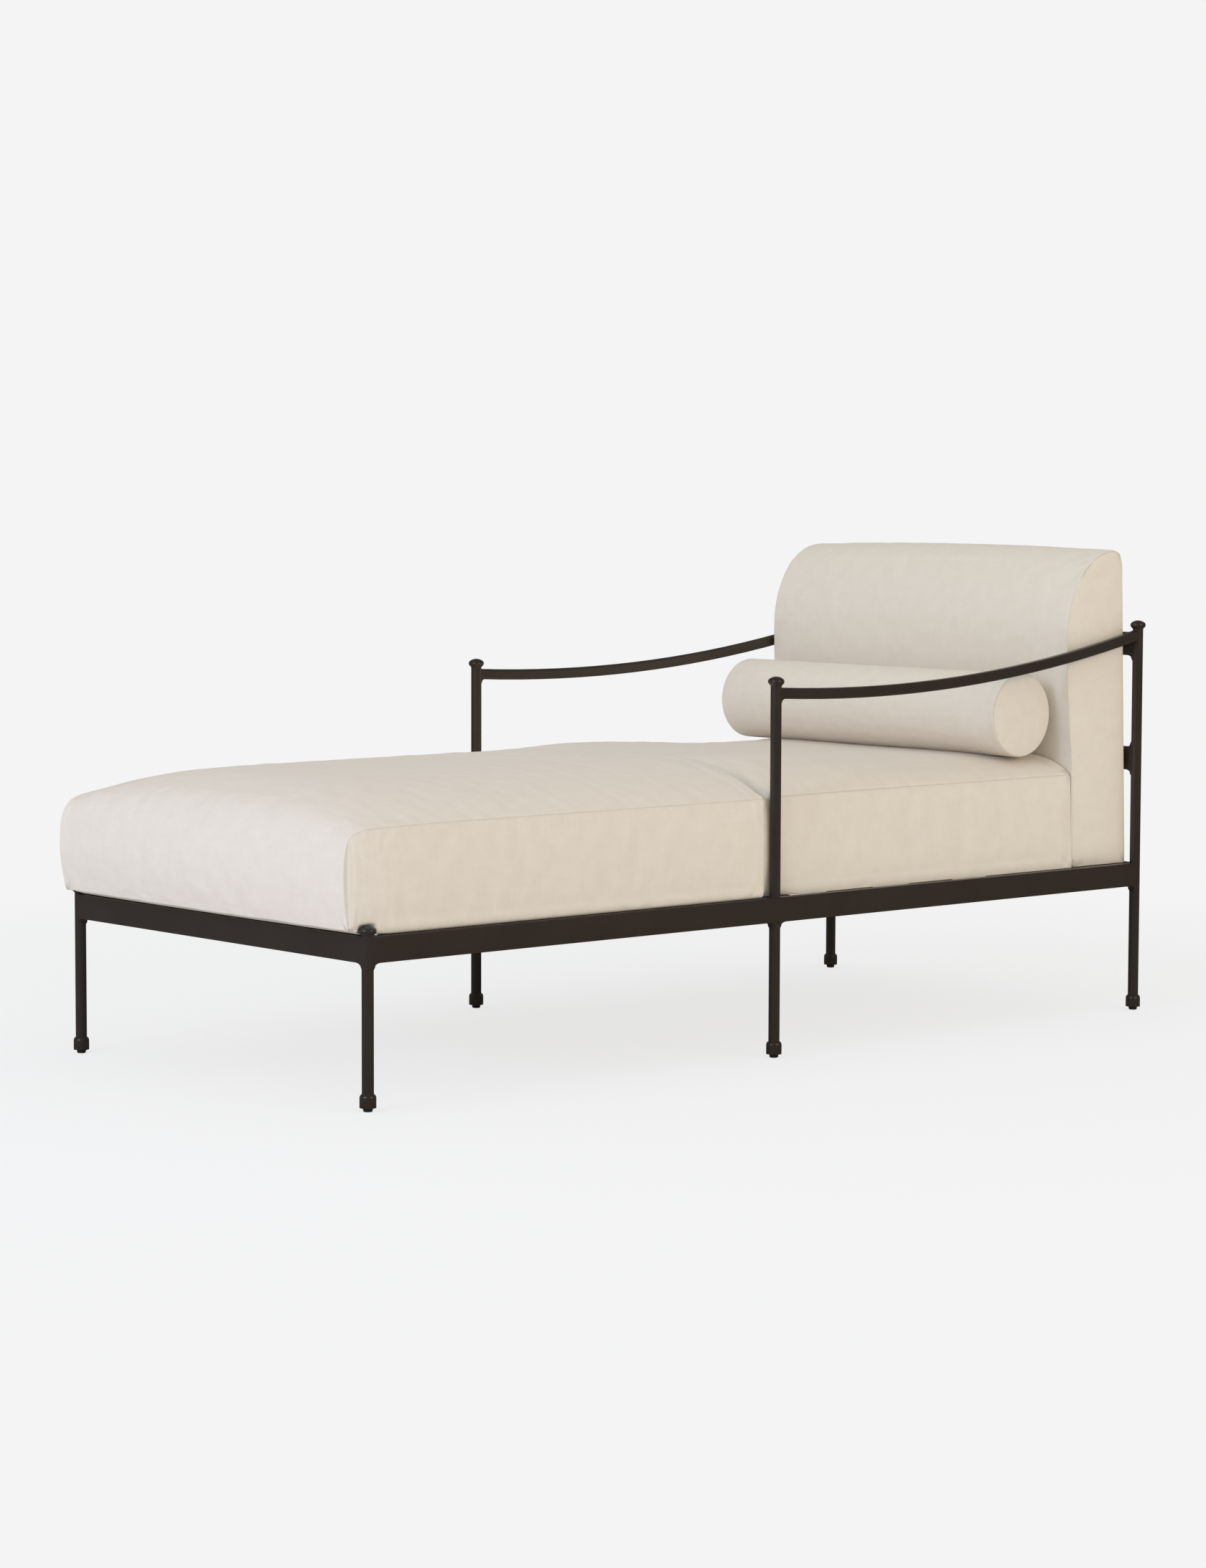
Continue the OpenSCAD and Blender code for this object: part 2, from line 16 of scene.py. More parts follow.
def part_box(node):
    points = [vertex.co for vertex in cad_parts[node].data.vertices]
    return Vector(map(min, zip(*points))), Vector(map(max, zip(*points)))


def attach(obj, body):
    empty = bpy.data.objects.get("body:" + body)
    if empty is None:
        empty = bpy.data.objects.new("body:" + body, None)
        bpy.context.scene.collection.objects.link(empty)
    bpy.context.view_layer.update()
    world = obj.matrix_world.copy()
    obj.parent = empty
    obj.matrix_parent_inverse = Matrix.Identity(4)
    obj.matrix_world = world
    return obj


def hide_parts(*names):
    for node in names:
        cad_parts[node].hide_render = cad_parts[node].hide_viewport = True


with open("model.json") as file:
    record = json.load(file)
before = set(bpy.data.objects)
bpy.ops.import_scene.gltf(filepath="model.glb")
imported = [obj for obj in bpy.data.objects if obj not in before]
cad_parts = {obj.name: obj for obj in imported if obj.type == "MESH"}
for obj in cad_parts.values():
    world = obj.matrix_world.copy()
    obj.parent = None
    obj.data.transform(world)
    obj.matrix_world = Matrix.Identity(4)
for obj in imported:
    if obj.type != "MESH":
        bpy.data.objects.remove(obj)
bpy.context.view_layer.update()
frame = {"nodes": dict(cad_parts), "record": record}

log = logging.getLogger("chaise")
Colour = tuple[float, float, float]
MM = 0.001
GRID_LAYERS = ("grid_u", "grid_v", "grid_w")
STITCH_PITCH = 5.5 * MM
STITCH_L = 3.4 * MM
STITCH_R = 0.35 * MM


class Side(Enum):
    """Left and right as seen from the foot end, as the sign of X."""

    LEFT = -1
    RIGHT = 1


class Row(Enum):
    """The three rows of legs, by the word in their nodes' names."""

    FOOT = "foot"
    MIDDLE = "middle"
    HEAD = "head"


class Panel(Enum):
    """The six panels of a boxed cushion."""

    LEFT = 0
    RIGHT = 1
    FRONT = 2
    REAR = 3
    BASE = 4
    TOP = 5


def middle_of(node: str) -> Vector:
    """Middle of a CAD node's box."""
    low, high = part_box(node)
    return (low + high) / 2


def ease(low: float, high: float, value: float) -> float:
    """Smooth step from 0 to 1 as value goes from low to high."""
    t = min(max((value - low) / (high - low), 0.0), 1.0)
    return t * t * (3 - 2 * t)


def crowned(u: float, power: float) -> float:
    """Share of a crown at a place across a panel: 1 in the middle and 0 at the seams."""
    return 1 - abs(u) ** power


def through(points: list[tuple[float, float]], at: float) -> float:
    """Smooth curve through points, read at one value.

    Args:
        points: Pairs of value and height, in rising order of value.
        at: The value to read the curve at.

    Returns:
        The height there, on a curve that never overshoots its points by much.
    """
    if at <= points[0][0]:
        return points[0][1]
    if at >= points[-1][0]:
        return points[-1][1]
    i = max(j for j in range(len(points) - 1) if points[j][0] <= at)
    (x0, y0), (x1, y1) = points[i], points[i + 1]
    before = points[i - 1] if i > 0 else (2 * x0 - x1, 2 * y0 - y1)
    after = points[i + 2] if i + 2 < len(points) else (2 * x1 - x0, 2 * y1 - y0)
    m0 = (y1 - before[1]) / (x1 - before[0])
    m1 = (after[1] - y0) / (after[0] - x0)
    span = x1 - x0
    t = (at - x0) / span
    return (
        (2 * t**3 - 3 * t**2 + 1) * y0
        + (t**3 - 2 * t**2 + t) * span * m0
        + (3 * t**2 - 2 * t**3) * y1
        + (t**3 - t**2) * span * m1
    )


def graded(*runs: tuple[float, float, float]) -> list[float]:
    """Grid lines over several runs, each with its own spacing.

    Args:
        runs: Start, end and largest step of each run; a run starts where the last one ended.

    Returns:
        The lines in order, with no line twice.
    """
    lines = [runs[0][0]]
    for start, end, step in runs:
        count = max(1, math.ceil((end - start) / step - 1e-6))
        lines += [start + (end - start) * (k + 1) / count for k in range(count)]
    return lines


class Graph:
    """Short hand for building one material's node tree."""

    def __init__(self, name: str, tree: bpy.types.NodeTree | None = None) -> None:
        """Start an empty material, or clear a world's tree to build on.

        Args:
            name: Name of the material, which a world's tree doesn't use.
            tree: The world's node tree, where no material is made.
        """
        self.material = None
        if tree is None:
            self.material = bpy.data.materials.new(name)
            self.material.use_nodes = True
        self.tree = tree or self.material.node_tree
        self.tree.nodes.clear()
        self.output = self.add("ShaderNodeOutputWorld" if tree else "ShaderNodeOutputMaterial")

    def add(self, kind: str, **settings: object) -> bpy.types.Node:
        """Add a node and set its properties and unlinked inputs.

        Args:
            kind: Node type, such as ShaderNodeMath.
            settings: Property names, or input names with spaces written as underscores.

        Returns:
            The new node.
        """
        node = self.tree.nodes.new(kind)
        for key, value in settings.items():
            if hasattr(node, key):
                setattr(node, key, value)
            else:
                node.inputs[key.replace("_", " ")].default_value = value
        return node

    def link(self, source: object, target: object) -> None:
        """Link an output to an input, taking a node's first output where a node is given."""
        out = source.outputs[0] if isinstance(source, bpy.types.Node) else source
        self.tree.links.new(out, target)

    def math(self, operation: str, a: object, b: object = 0.0) -> bpy.types.NodeSocket:
        """Math node on two sockets or numbers."""
        node = self.add("ShaderNodeMath", operation=operation)
        for slot, item in ((0, a), (1, b)):
            if isinstance(item, (int, float)):
                node.inputs[slot].default_value = item
            else:
                self.link(item, node.inputs[slot])
        return node.outputs[0]

    def place(self) -> bpy.types.NodeSocket:
        """Coordinates of the piece itself."""
        return self.add("ShaderNodeTexCoord").outputs["Object"]

    def weighted(self, *parts: tuple[object, float]) -> bpy.types.NodeSocket:
        """Sum of sockets, each times its weight."""
        total = None
        for source, weight in parts:
            part = self.math("MULTIPLY", source, weight)
            total = part if total is None else self.math("ADD", total, part)
        return total

    def grain(
        self, source: object, size: float, detail: float = 2.0,
        stretch: tuple[float, float, float] = (1, 1, 1),
    ) -> bpy.types.NodeSocket:
        """Noise, on stretched coordinates for threads and streaks.

        Args:
            source: Coordinates to read.
            size: Scale of the noise itself.
            detail: Octaves of the noise.
            stretch: Scale of the coordinates along each axis.

        Returns:
            The noise's factor.
        """
        mapping = self.add("ShaderNodeMapping")
        mapping.inputs["Scale"].default_value = stretch
        self.link(source, mapping.inputs["Vector"])
        cloud = self.add("ShaderNodeTexNoise", Scale=size, Detail=detail, Roughness=0.55)
        self.link(mapping, cloud.inputs["Vector"])
        return cloud.outputs["Fac"]

    def tint(self, factor: object, dark: Colour, light: Colour) -> bpy.types.NodeSocket:
        """Colour mixed from dark to light by a factor."""
        mix = self.add("ShaderNodeMix", data_type="RGBA")
        mix.inputs["A"].default_value = (*dark, 1)
        mix.inputs["B"].default_value = (*light, 1)
        self.link(factor, mix.inputs["Factor"])
        return mix.outputs["Result"]

    def glow_sum(self, *parts: tuple[Colour, object]) -> bpy.types.NodeSocket:
        """Sum of colours, each scaled by a factor.

        Args:
            parts: Pairs of a colour and a number or socket.

        Returns:
            The summed colour.
        """
        total = None
        for colour, factor in parts:
            scaled = self.add("ShaderNodeVectorMath", operation="SCALE")
            scaled.inputs[0].default_value = colour
            if isinstance(factor, (int, float)):
                scaled.inputs["Scale"].default_value = factor
            else:
                self.link(factor, scaled.inputs["Scale"])
            if total is not None:
                joined = self.add("ShaderNodeVectorMath", operation="ADD")
                self.link(total, joined.inputs[0])
                self.link(scaled, joined.inputs[1])
                scaled = joined
            total = scaled.outputs[0]
        return total

    def window(self, source: object, low: float, high: float) -> bpy.types.NodeSocket:
        """Part of a range, stretched to 0 to 1 and clamped."""
        node = self.add("ShaderNodeMapRange")
        node.inputs["From Min"].default_value = low
        node.inputs["From Max"].default_value = high
        self.link(source, node.inputs["Value"])
        return node.outputs["Result"]

    def bump(
        self, height: object, strength: float, distance: float, under: object = None
    ) -> bpy.types.NodeSocket:
        """Bump normal from a height.

        Args:
            height: Height socket.
            strength: Strength of the bump.
            distance: Height of the relief in metres.
            under: Normal of a bump that this one lies on, if any.

        Returns:
            The normal.
        """
        node = self.add("ShaderNodeBump", Strength=strength, Distance=distance)
        self.link(height, node.inputs["Height"])
        if under is not None:
            self.link(under, node.inputs["Normal"])
        return node.outputs["Normal"]

    def surface(
        self, colour: object, normal: object, rough: object = None, **settings: float
    ) -> bpy.types.Material:
        """Finish the material with a Principled surface.

        Args:
            colour: Socket of the base colour.
            normal: Socket of the normal.
            rough: Socket of the roughness, where it varies.
            settings: Other inputs, with spaces written as underscores.

        Returns:
            The finished material.
        """
        skin = self.add("ShaderNodeBsdfPrincipled", **settings)
        self.link(colour, skin.inputs["Base Color"])
        self.link(normal, skin.inputs["Normal"])
        if rough is not None:
            self.link(rough, skin.inputs["Roughness"])
        self.link(skin, self.output.inputs["Surface"])
        return self.material

    def blend(self, factor: object, first: object, second: object) -> None:
        """Show one shader where the factor is 0 and another where it is 1."""
        mix = self.add("ShaderNodeMixShader")
        self.link(factor, mix.inputs["Fac"])
        self.link(first, mix.inputs[1])
        self.link(second, mix.inputs[2])
        self.link(mix, self.output.inputs["Surface"])


@dataclass(frozen=True)
class PowderCoat:
    """Satin dark bronze powder coat on welded steel."""

    name: str = "powder_coat"
    dark: Colour = (0.0225, 0.0145, 0.0090)
    light: Colour = (0.0285, 0.0188, 0.0122)
    roughness: float = 0.30

    def make(self) -> bpy.types.Material:
        """Build the material: a mottled base, orange peel and uneven gloss."""
        g = Graph(self.name)
        place = g.place()
        cloud = g.grain(place, 9.0, detail=3.0)
        speckle = g.grain(place, 700.0)
        shade = g.window(g.weighted((cloud, 0.7), (speckle, 0.3)), 0.35, 0.65)
        rough = g.math("ADD", g.math("MULTIPLY", cloud, 0.12), self.roughness - 0.06)
        return g.surface(
            g.tint(shade, self.dark, self.light), g.bump(speckle, 0.25, 0.12 * MM), rough
        )


@dataclass(frozen=True)
class MouldedPlastic:
    """Matt black moulded plastic of the glides."""

    name: str = "glide_plastic"
    colour: Colour = (0.012, 0.012, 0.013)

    def make(self) -> bpy.types.Material:
        """Build the material: fine spark grain and scuffs near the floor."""
        g = Graph(self.name)
        place = g.place()
        spark = g.grain(place, 1500.0, detail=1.0)
        height = g.add("ShaderNodeSeparateXYZ")
        g.link(place, height.inputs["Vector"])
        scuff = g.math("MULTIPLY", g.window(height.outputs["Z"], 3 * MM, 0.0), spark)
        worn = tuple(c * 4 for c in self.colour)
        return g.surface(
            g.tint(scuff, self.colour, worn), g.bump(spark, 0.3, 0.08 * MM), Roughness=0.55
        )


@dataclass(frozen=True)
class PlatedSteel:
    """Zinc plated steel of the glides' studs."""

    name: str = "stud_steel"
    colour: Colour = (0.55, 0.55, 0.54)

    def make(self) -> bpy.types.Material:
        """Build the material: turned rings as fine bands along the stud."""
        g = Graph(self.name)
        place = g.place()
        rings = g.add("ShaderNodeTexWave", bands_direction="Z", Scale=250.0, Distortion=0.4)
        g.link(place, rings.inputs["Vector"])
        cloud = g.grain(place, 120.0)
        rough = g.math("ADD", g.math("MULTIPLY", cloud, 0.2), 0.25)
        dull = tuple(c * 0.7 for c in self.colour)
        relief = g.bump(rings.outputs["Fac"], 0.5, 0.4 * MM)
        return g.surface(g.tint(cloud, dull, self.colour), relief, rough, Metallic=1.0)


@dataclass(frozen=True)
class Linen:
    """Fine plain weave that follows the weave map, with gathers and a painted shade line along the
    seam map.
    """

    name: str
    shade: Colour = (0.699, 0.616, 0.520)
    pale: Colour = (0.757, 0.674, 0.579)
    # seam is the colour of the painted shade in the seams' grooves, and seam_shade its largest
    # share.
    seam: Colour = (0.30, 0.25, 0.19)
    seam_shade: float = 0.30
    thread_pitch: float = 900.0
    slub_pitch: float = 210.0

    def make(self) -> bpy.types.Material:
        """Build the material: crossing threads, slubs, mottling, gathers and painted shade in the
        seams' grooves.
        """
        g = Graph(self.name)
        flat = g.add("ShaderNodeUVMap", uv_map="weave").outputs["UV"]
        sewn = g.add("ShaderNodeUVMap", uv_map="seam").outputs["UV"]
        threads = self.crossing(g, flat, self.thread_pitch, 0.06)
        slubs = self.crossing(g, flat, self.slub_pitch, 0.10)
        mottle = g.grain(flat, 38.0, detail=5.0)
        tone = g.weighted((threads, 0.20), (slubs, 0.13), (mottle, 0.34))
        cloth = g.tint(g.window(tone, 0.36, 0.64), self.shade, self.pale)
        axes = g.add("ShaderNodeSeparateXYZ")
        g.link(sewn, axes.inputs["Vector"])
        away = axes.outputs["X"]
        # Painted shade: within 1.6 mm of a seam the cloth is mixed towards the seam colour, for the
        # shade in its groove.
        line = g.math("MULTIPLY", g.window(away, 1.6 * MM, 0.4 * MM), self.seam_shade)
        groove_shaded_cloth = g.add("ShaderNodeMix", data_type="RGBA")
        groove_shaded_cloth.inputs["B"].default_value = (*self.seam, 1)
        g.link(cloth, groove_shaded_cloth.inputs["A"])
        g.link(line, groove_shaded_cloth.inputs["Factor"])
        relief = g.math("ADD", threads, g.math("MULTIPLY", slubs, 0.6))
        weave = g.bump(relief, 0.45, 0.3 * MM)
        gather = g.grain(sewn, 95.0, detail=1.5, stretch=(0.16, 1, 1))
        near = g.window(away, 22 * MM, 0.0)
        height = g.math("MULTIPLY", gather, g.math("MULTIPLY", near, near))
        return g.surface(
            groove_shaded_cloth.outputs["Result"], g.bump(height, 1.0, 1.2 * MM, weave),
            Roughness=0.92, Specular_IOR_Level=0.15, Sheen_Weight=0.10, Sheen_Roughness=0.5,
        )

    def crossing(
        self, g: Graph, flat: object, pitch: float, length: float
    ) -> bpy.types.NodeSocket:
        """Sum of two sets of streaks that cross at right angles.

        Args:
            g: The material's graph.
            flat: Places on the cloth.
            pitch: Scale of the streaks across themselves.
            length: Share of that scale along them.

        Returns:
            The sum of both sets.
        """
        warp = g.grain(flat, pitch, stretch=(1, length, 1))
        weft = g.grain(flat, pitch, stretch=(length, 1, 1))
        return g.math("ADD", warp, weft)


@dataclass(frozen=True)
class SewingThread:
    """Twisted cotton thread of the seams."""

    name: str = "sewing_thread"
    colour: Colour = (0.77, 0.69, 0.60)

    def make(self) -> bpy.types.Material:
        """Build the material: a fine twist on a matt thread."""
        g = Graph(self.name)
        twist = g.grain(g.place(), 2500.0, detail=1.0)
        dull = tuple(c * 0.8 for c in self.colour)
        return g.surface(
            g.tint(twist, dull, self.colour), g.bump(twist, 0.4, 0.1 * MM), Roughness=0.8
        )


@dataclass
class Finishes:
    """All finishes of the piece, each built once. All but the thread are named as their slots."""

    made: dict[str, bpy.types.Material] = field(default_factory=dict)

    def __post_init__(self) -> None:
        """Build every material."""
        cloths = [Linen(slot) for slot in ("seat_cloth", "back_cloth", "bolster_cloth")]
        for finish in (PowderCoat(), MouldedPlastic(), PlatedSteel(), *cloths, SewingThread()):
            self.made[finish.name] = finish.make()

    def named(self, name: str) -> bpy.types.Material:
        """Material of one name."""
        return self.made[name]


def add_piece(name: str, bm: bmesh.types.BMesh, material: bpy.types.Material) -> bpy.types.Object:
    """Turn a bmesh into a smooth-shaded object at the origin.

    Args:
        name: Name of the piece.
        bm: The bmesh, which is freed.
        material: The piece's material.

    Returns:
        The new object.
    """
    mesh = bpy.data.meshes.new(name)
    bm.to_mesh(mesh)
    bm.free()
    mesh.materials.append(material)
    mesh.shade_smooth()
    piece = bpy.data.objects.new(name, mesh)
    bpy.context.scene.collection.objects.link(piece)
    return piece


def evaluated_copy(piece: bpy.types.Object) -> bpy.types.Mesh:
    """Mesh of a piece with its modifiers applied."""
    graph = bpy.context.evaluated_depsgraph_get()
    return bpy.data.meshes.new_from_object(piece.evaluated_get(graph))


def pour(part: bmesh.types.BMesh, total: bmesh.types.BMesh) -> None:
    """Move everything in one bmesh over to another."""
    mesh = bpy.data.meshes.new("part")
    part.to_mesh(mesh)
    part.clear()
    total.from_mesh(mesh)
    bpy.data.meshes.remove(mesh)


@dataclass
class MetalFrame:
    """The welded frame: the CAD nodes' finishes and the welds at their joints.

    Each hollow weld covers the CAD's own, whose radius is corner_r or arm_corner_r, whose
    half thickness is weld_half or arm_weld_half and whose arc stands core_room further out.
    bite and sunk are how far the welds reach into the upright and the rail.
    """

    finishes: Finishes
    bead_r: float = 0.8 * MM
    bead_lumps: tuple[tuple[float, float], ...] = ((900, 0.35), (2600, 0.2))
    corner_r: float = 6.0 * MM
    arm_corner_r: float = 5.0 * MM
    weld_r: float = 8.7 * MM
    arm_weld_r: float = 7.45 * MM
    weld_half: float = 5.8 * MM
    arm_weld_half: float = 4.5 * MM
    rail_clip: float = 8.2 * MM
    arm_clip: float = 6.8 * MM
    core_room: float = 0.4 * MM
    bite: float = 0.4 * MM
    sunk: float = 1.6 * MM
    run_out: tuple[float, ...] = (4 * MM, 2.7 * MM, 1.3 * MM)
    wrap: float = 140.0
    wrap_steps: int = 28
    arc_steps: int = 12

    def dress(self) -> None:
        """Give every carried-over CAD node its finish."""
        slots = {part["node"]: part["material_slot"] for part in frame["record"]["subparts"]}
        for node, shown in frame["nodes"].items():
            shown.data.materials.clear()
            shown.data.materials.append(self.finishes.named(slots[node]))

    def ring(self, bm: bmesh.types.BMesh, centre: Vector, tube_r: float, bead_r: float) -> None:
        """Add an uneven ring of weld bead round an upright tube.

        Args:
            bm: The bmesh to add to.
            centre: Middle of the ring.
            tube_r: Radius of the tube.
            bead_r: Radius of the bead.
        """
        made = bmesh.ops.create_circle(bm, cap_ends=False, radius=bead_r, segments=8)
        upright = Matrix.Rotation(math.pi / 2, 4, "X")
        place = Matrix.Translation(centre + Vector((tube_r, 0, 0)))
        bmesh.ops.transform(bm, matrix=place @ upright, verts=made["verts"])
        loop = list({e for v in made["verts"] for e in v.link_edges})
        bmesh.ops.spin(
            bm, geom=made["verts"] + loop, cent=centre, axis=(0, 0, 1),
            angle=2 * math.pi, steps=56, use_merge=True,
        )
        verts = {v for v in bm.verts if (v.co - centre).length < tube_r + 2 * bead_r}
        for v in verts:
            away = (v.co - centre) * Vector((1, 1, 0))
            swell = sum(noise.noise(v.co * pitch) * share for pitch, share in self.bead_lumps)
            core = centre + away.normalized() * tube_r
            v.co = core + (v.co - core) * (1 + swell)

    def corner(
        self, total: bmesh.types.BMesh, centre: Vector, heading: float, radius: float,
        clip: float, tube_r: float, core: tuple[float, float], above: bool = False,
    ) -> None:
        """Add a hollow weld that wraps round an upright under a rail, or above it.

        Args:
            total: The bmesh to add to.
            centre: Point on the upright's axis at the rail's edge.
            heading: Direction of the rail from the upright, in degrees from +X.
            radius: Radius of the hollow.
            clip: Half the width that the weld keeps across the rail.
            tube_r: Radius of the upright.
            core: Radius and half thickness of the CAD's own weld, which this one covers.
            above: Whether the weld stands above the rail.
        """
        inner = tube_r - self.bite
        hollow = Vector((tube_r + radius, 0, -radius))
        outline = [Vector((inner, 0, self.sunk)), Vector((inner, 0, -radius - self.run_out[0]))]
        outline += [Vector((tube_r + 0.03 * MM, 0, -radius - drop)) for drop in self.run_out]
        for step in range(self.arc_steps + 1):
            turn = math.radians(180 - 90 / self.arc_steps * step)
            arm = (radius - 0.08 * MM) * Vector((math.cos(turn), 0, math.sin(turn)))
            outline.append(hollow + arm)
        outline.append(Vector((tube_r + radius, 0, self.sunk)))
        bm = bmesh.new()
        bmesh.ops.create_circle(bm, cap_ends=False, radius=1.0, segments=len(outline))
        bm.verts.ensure_lookup_table()
        for vert, place in zip(bm.verts, outline):
            vert.co = place
        start = Matrix.Rotation(math.radians(-self.wrap / 2), 3, "Z")
        bmesh.ops.rotate(bm, verts=bm.verts, cent=(0, 0, 0), matrix=start)
        bmesh.ops.spin(
            bm, geom=bm.verts[:] + bm.edges[:], cent=(0, 0, 0), axis=(0, 0, 1),
            angle=math.radians(self.wrap), steps=self.wrap_steps,
        )
        for vert in bm.verts:
            out = math.hypot(vert.co.x, vert.co.y)
            if out > tube_r:
                grown = max(out, self.core_reach(vert.co, tube_r, core))
                vert.co.x, vert.co.y = vert.co.x * grown / out, vert.co.y * grown / out
        for sign in (-1, 1):
            bmesh.ops.bisect_plane(
                bm, geom=bm.verts[:] + bm.edges[:] + bm.faces[:], dist=1e-7,
                plane_co=(0, sign * clip, 0), plane_no=(0, sign, 0), clear_outer=True,
            )
        bmesh.ops.holes_fill(bm, edges=bm.edges, sides=0)
        if above:
            bmesh.ops.scale(bm, verts=bm.verts, vec=(1, 1, -1))
        place = Matrix.Translation(centre) @ Matrix.Rotation(math.radians(heading), 4, "Z")
        bmesh.ops.transform(bm, matrix=place, verts=bm.verts)
        bmesh.ops.recalc_face_normals(bm, faces=bm.faces)
        pour(bm, total)
        bm.free()

    def core_reach(self, spot: Vector, tube_r: float, core: tuple[float, float]) -> float:
        """How far the CAD's own weld stands out towards a spot, with its lower end faded out.

        Args:
            spot: The spot, from the upright's axis at the rail's edge.
            tube_r: Radius of the upright.
            core: Radius and half thickness of the CAD's own weld.

        Returns:
            The distance from the upright's axis.
        """
        small, half = core
        depth = min(max(-spot.z, 0.0), small)
        far = small + self.core_room
        ahead = tube_r + far - math.sqrt(max(small**2 - (far - depth) ** 2, 0.0))
        turn = math.atan2(abs(spot.y), spot.x)
        edge = min(ahead / max(math.cos(turn), 1e-6), half / max(math.sin(turn), 1e-6))
        proud = max(edge + 0.1 * MM - tube_r, 0.0)
        return tube_r + proud * (1 - ease(small, small + 4.5 * MM, -spot.z))

    def weld(self) -> bpy.types.Object:
        """Make the beads round the arm posts and the hollow welds at every rail."""
        bm = bmesh.new()
        post_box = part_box("arm_post_left")
        tube_r = (post_box[1].x - post_box[0].x) / 2
        for side in Side:
            post = middle_of(f"arm_post_{side.name.lower()}")
            self.ring(bm, Vector((post.x, post.y, post_box[0].z)), tube_r, self.bead_r)
        rail_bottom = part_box("leg_middle_left")[1].z
        lower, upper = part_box("back_rail_lower"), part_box("back_rail_upper")
        arm_under = self.arm_bottom()
        for side in Side:
            word = side.name.lower()
            inward = 0 if side is Side.LEFT else 180
            legs = {row: middle_of(f"foot_cup_{row.value}_{word}") for row in Row}
            places = [
                (Row.FOOT, rail_bottom, 90, False), (Row.FOOT, rail_bottom, inward, False),
                (Row.MIDDLE, rail_bottom, 90, False), (Row.MIDDLE, rail_bottom, -90, False),
                (Row.HEAD, rail_bottom, -90, False), (Row.HEAD, rail_bottom, inward, False),
                (Row.HEAD, lower[0].z + self.corner_r, inward, False),
                (Row.HEAD, lower[1].z - self.corner_r, inward, True),
                (Row.HEAD, upper[0].z + self.corner_r, inward, False),
            ]
            for row, height, heading, above in places:
                spot = Vector((legs[row].x, legs[row].y, height))
                self.corner(
                    bm, spot, heading, self.weld_r, self.rail_clip, tube_r,
                    (self.corner_r, self.weld_half), above,
                )
            spot = Vector((legs[Row.MIDDLE].x, legs[Row.MIDDLE].y, arm_under))
            self.corner(
                bm, spot, 90, self.arm_weld_r, self.arm_clip, tube_r,
                (self.arm_corner_r, self.arm_weld_half),
            )
        beads = add_piece("weld_beads", bm, self.finishes.named("powder_coat"))
        beads.data.set_sharp_from_angle(angle=math.radians(50))
        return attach(beads, "frame")

    def arm_bottom(self) -> float:
        """Height of an arm rail's lower edge at its middle post."""
        arm = frame["nodes"]["arm_rail_left"].data
        post = middle_of("arm_post_left")
        near = [v.co.z for v in arm.vertices if abs(v.co.y - post.y) < 12 * MM]
        return min(near) + self.arm_corner_r


@dataclass
class GridSkin:
    """Closed skin of quads: a cube, cut along grid lines and moved to a shape."""

    across: list[float]
    along: list[float]
    up: list[float]

    def make(self, shape: Callable[[float, float, float], Vector]) -> bmesh.types.BMesh:
        """Cut a cube along the grid lines and move its points to a shape.

        Args:
            shape: Gives the point for a line across, a line along and a line up.

        Returns:
            The bmesh, with each face's panel in the panel layer and each point's
            grid lines in the layers grid_u, grid_v and grid_w.
        """
        bm = bmesh.new()
        bmesh.ops.create_cube(bm, size=1.0)
        lines = (self.across, self.along, self.up)
        for axis, run in enumerate(lines):
            uncut = [e for e in bm.edges if abs(e.verts[0].co[axis] - e.verts[1].co[axis]) > 0.5]
            bmesh.ops.subdivide_edges(bm, edges=uncut, cuts=len(run) - 2)
        panel = bm.faces.layers.int.new("panel")
        layers = [bm.verts.layers.float.new(name) for name in GRID_LAYERS]
        bm.normal_update()
        for face in bm.faces:
            axis = max(range(3), key=lambda k: abs(face.normal[k]))
            face[panel] = 2 * axis + (1 if face.normal[axis] > 0 else 0)
        for vert in bm.verts:
            for axis, run in enumerate(lines):
                vert[layers[axis]] = run[round((vert.co[axis] + 0.5) * (len(run) - 1))]
        for vert in bm.verts:
            vert.co = shape(*(vert[layer] for layer in layers))
        return bm


